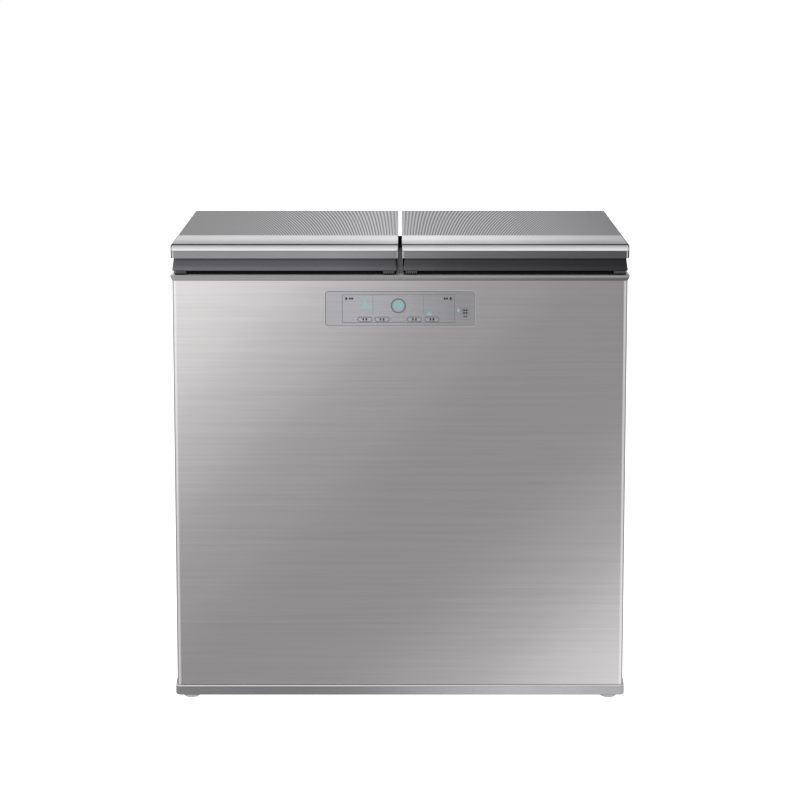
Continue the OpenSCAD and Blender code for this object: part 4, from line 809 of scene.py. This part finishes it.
# level bars of the two wells, and the lamp beside the lock
lamps = bmesh.new()
for x, y, width, height in ((-70.4, 17.4, 5.4, 4.4), (-61.6, 17.4, 4.6, 3.4), (-70.4, 12.2, 4.2, 5.2),
                            (-70.4, 7.0, 8.0, 4.2), (-80.6, 2.0, 4.4, 3.0), (-75.4, 2.4, 4.8, 4.0),
                            (-69.6, 2.4, 5.6, 4.4), (-63.4, 2.4, 5.2, 4.0), (-57.8, 2.4, 4.4, 3.2),
                            (59.4, -7.6, 4.0, 3.2), (56.4, -11.6, 3.8, 3.4), (61.0, -11.6, 4.4, 3.4),
                            (117.4, -3.6, 4.4, 6.4)):
    put(lamps, block(width, height, 1.3), on_panel(x, y))
piece("panel_lamps", lamps, lamp_ink, "cabinet")

# each digit is drawn with bars: (places right of and above its middle, in half widths and halves of its
# height; 1 for a standing bar)
digit_bars = {"a": (0, 1, 0), "b": (0.5, 0.5, 1), "c": (0.5, -0.5, 1), "d": (0, -1, 0), "e": (-0.5, -0.5, 1),
              "f": (-0.5, 0.5, 1), "g": (0, 0, 0)}
digit_width, digit_height, digit_line = 3.4, 6.6, 1.5
digit_y = 6.5
lens_front = panel_low.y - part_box("display_lens")[0].y - 0.5 * mm
digits = bmesh.new()
for middle, bars in ((-9.5, "abged"), (2.2, "acdfg")):
    for bar in bars:
        to_right, up, standing = digit_bars[bar]
        width, height = (digit_line, digit_height / 2) if standing else (digit_width, digit_line)
        put(digits, block(width, height), on_panel(middle + to_right * digit_width,
            digit_y + up * digit_height / 2, lens_front))
piece("display_digits", digits, digit_ink, "cabinet")

# ---------------------------------------------------------------- storage containers
# Blow-moulded milky boxes with snap-on lids of grey polypropylene.

box_skin, box_shader, _ = moulded("milky container", level(214), rough=0.35, gloss=0.4)
box_shader.inputs["Subsurface Weight"].default_value = 0.2
box_shader.inputs["Subsurface Scale"].default_value = 0.02
dress(box_skin, "left_container", "right_container")
box_lid_skin = moulded("container lid", (0.22, 0.25, 0.27, 1), rough=0.4)[0]
dress(box_lid_skin, "left_container_lid", "right_container_lid")

# ---------------------------------------------------------------- screws
# Pan-head screws with a cross recess hold the rear cover and the back sheet.


def screw_head(diameter, height):
    """A pan head standing on z = 0, with a cross pressed into it."""
    shape = bmesh.new()
    bmesh.ops.create_grid(shape, x_segments=7, y_segments=7, size=1)
    for corner in shape.verts:
        x, y = corner.co.x, corner.co.y
        corner.co.x = x * math.sqrt(1 - y * y / 2)
        corner.co.y = y * math.sqrt(1 - x * x / 2)
    bmesh.ops.scale(shape, vec=(diameter / 2, diameter / 2, 1), verts=shape.verts)
    for corner in shape.verts:
        reach = corner.co.xy.length / (diameter / 2)
        corner.co.z = height * (1 - 0.35 * reach ** 2)
    arm, half = 0.36 * diameter, 0.09 * diameter
    middles = {face: face.calc_center_median() for face in shape.faces}
    cross = [face for face, spot in middles.items()
             if min(abs(spot.x), abs(spot.y)) < half and max(abs(spot.x), abs(spot.y)) < arm]
    sunk = [part for part in bmesh.ops.extrude_face_region(shape, geom=cross)["geom"]
            if isinstance(part, bmesh.types.BMVert)]
    bmesh.ops.translate(shape, vec=(0, 0, -0.45 * height), verts=sunk)
    bmesh.ops.delete(shape, geom=[face for face in cross if face.is_valid], context="FACES")
    rim = [edge for edge in shape.edges if edge.is_boundary]
    skirt = bmesh.ops.extrude_edge_only(shape, edges=rim)["geom"]
    for corner in skirt:
        if isinstance(corner, bmesh.types.BMVert):
            corner.co.z = 0
    bmesh.ops.recalc_face_normals(shape, faces=shape.faces)
    return shape


screw_steel, screw_shader = finish_of("screw steel", level(140), 0.3, metal=1.0)
mottled(screw_steel, screw_shader, level(146), (700, 700, 700), 0.85, 1.1)

back_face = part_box("right_side_panel")[1].y
cover_face = back_face + 1.5 * mm
out_of_back = Matrix(((-1, 0, 0), (0, 0, 1), (0, 1, 0))).to_4x4()
louvres_low, louvres_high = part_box("machine_cover")
screw_d, screw_h = 8 * mm, 2.6 * mm
screw_edge = 7 * mm
screws = bmesh.new()


def screw_at(x, y, z):
    """Adds a screw whose head faces the rear."""
    put(screws, screw_head(screw_d, screw_h), Matrix.Translation((x, y, z)) @ out_of_back)


for side in (-1, 1):
    for share in (0.04, 0.5, 0.96):
        screw_at(side * (louvres_high.x - screw_edge), cover_face,
                 louvres_low.z + share * (louvres_high.z - louvres_low.z))
    screw_at(side * 0.13, cover_face, louvres_high.z - screw_edge)
    for height in (0.36, 0.5, 0.64, 0.78):
        screw_at(side * 0.449, back_face, height)
piece("rear_screws", screws, screw_steel, "cabinet")
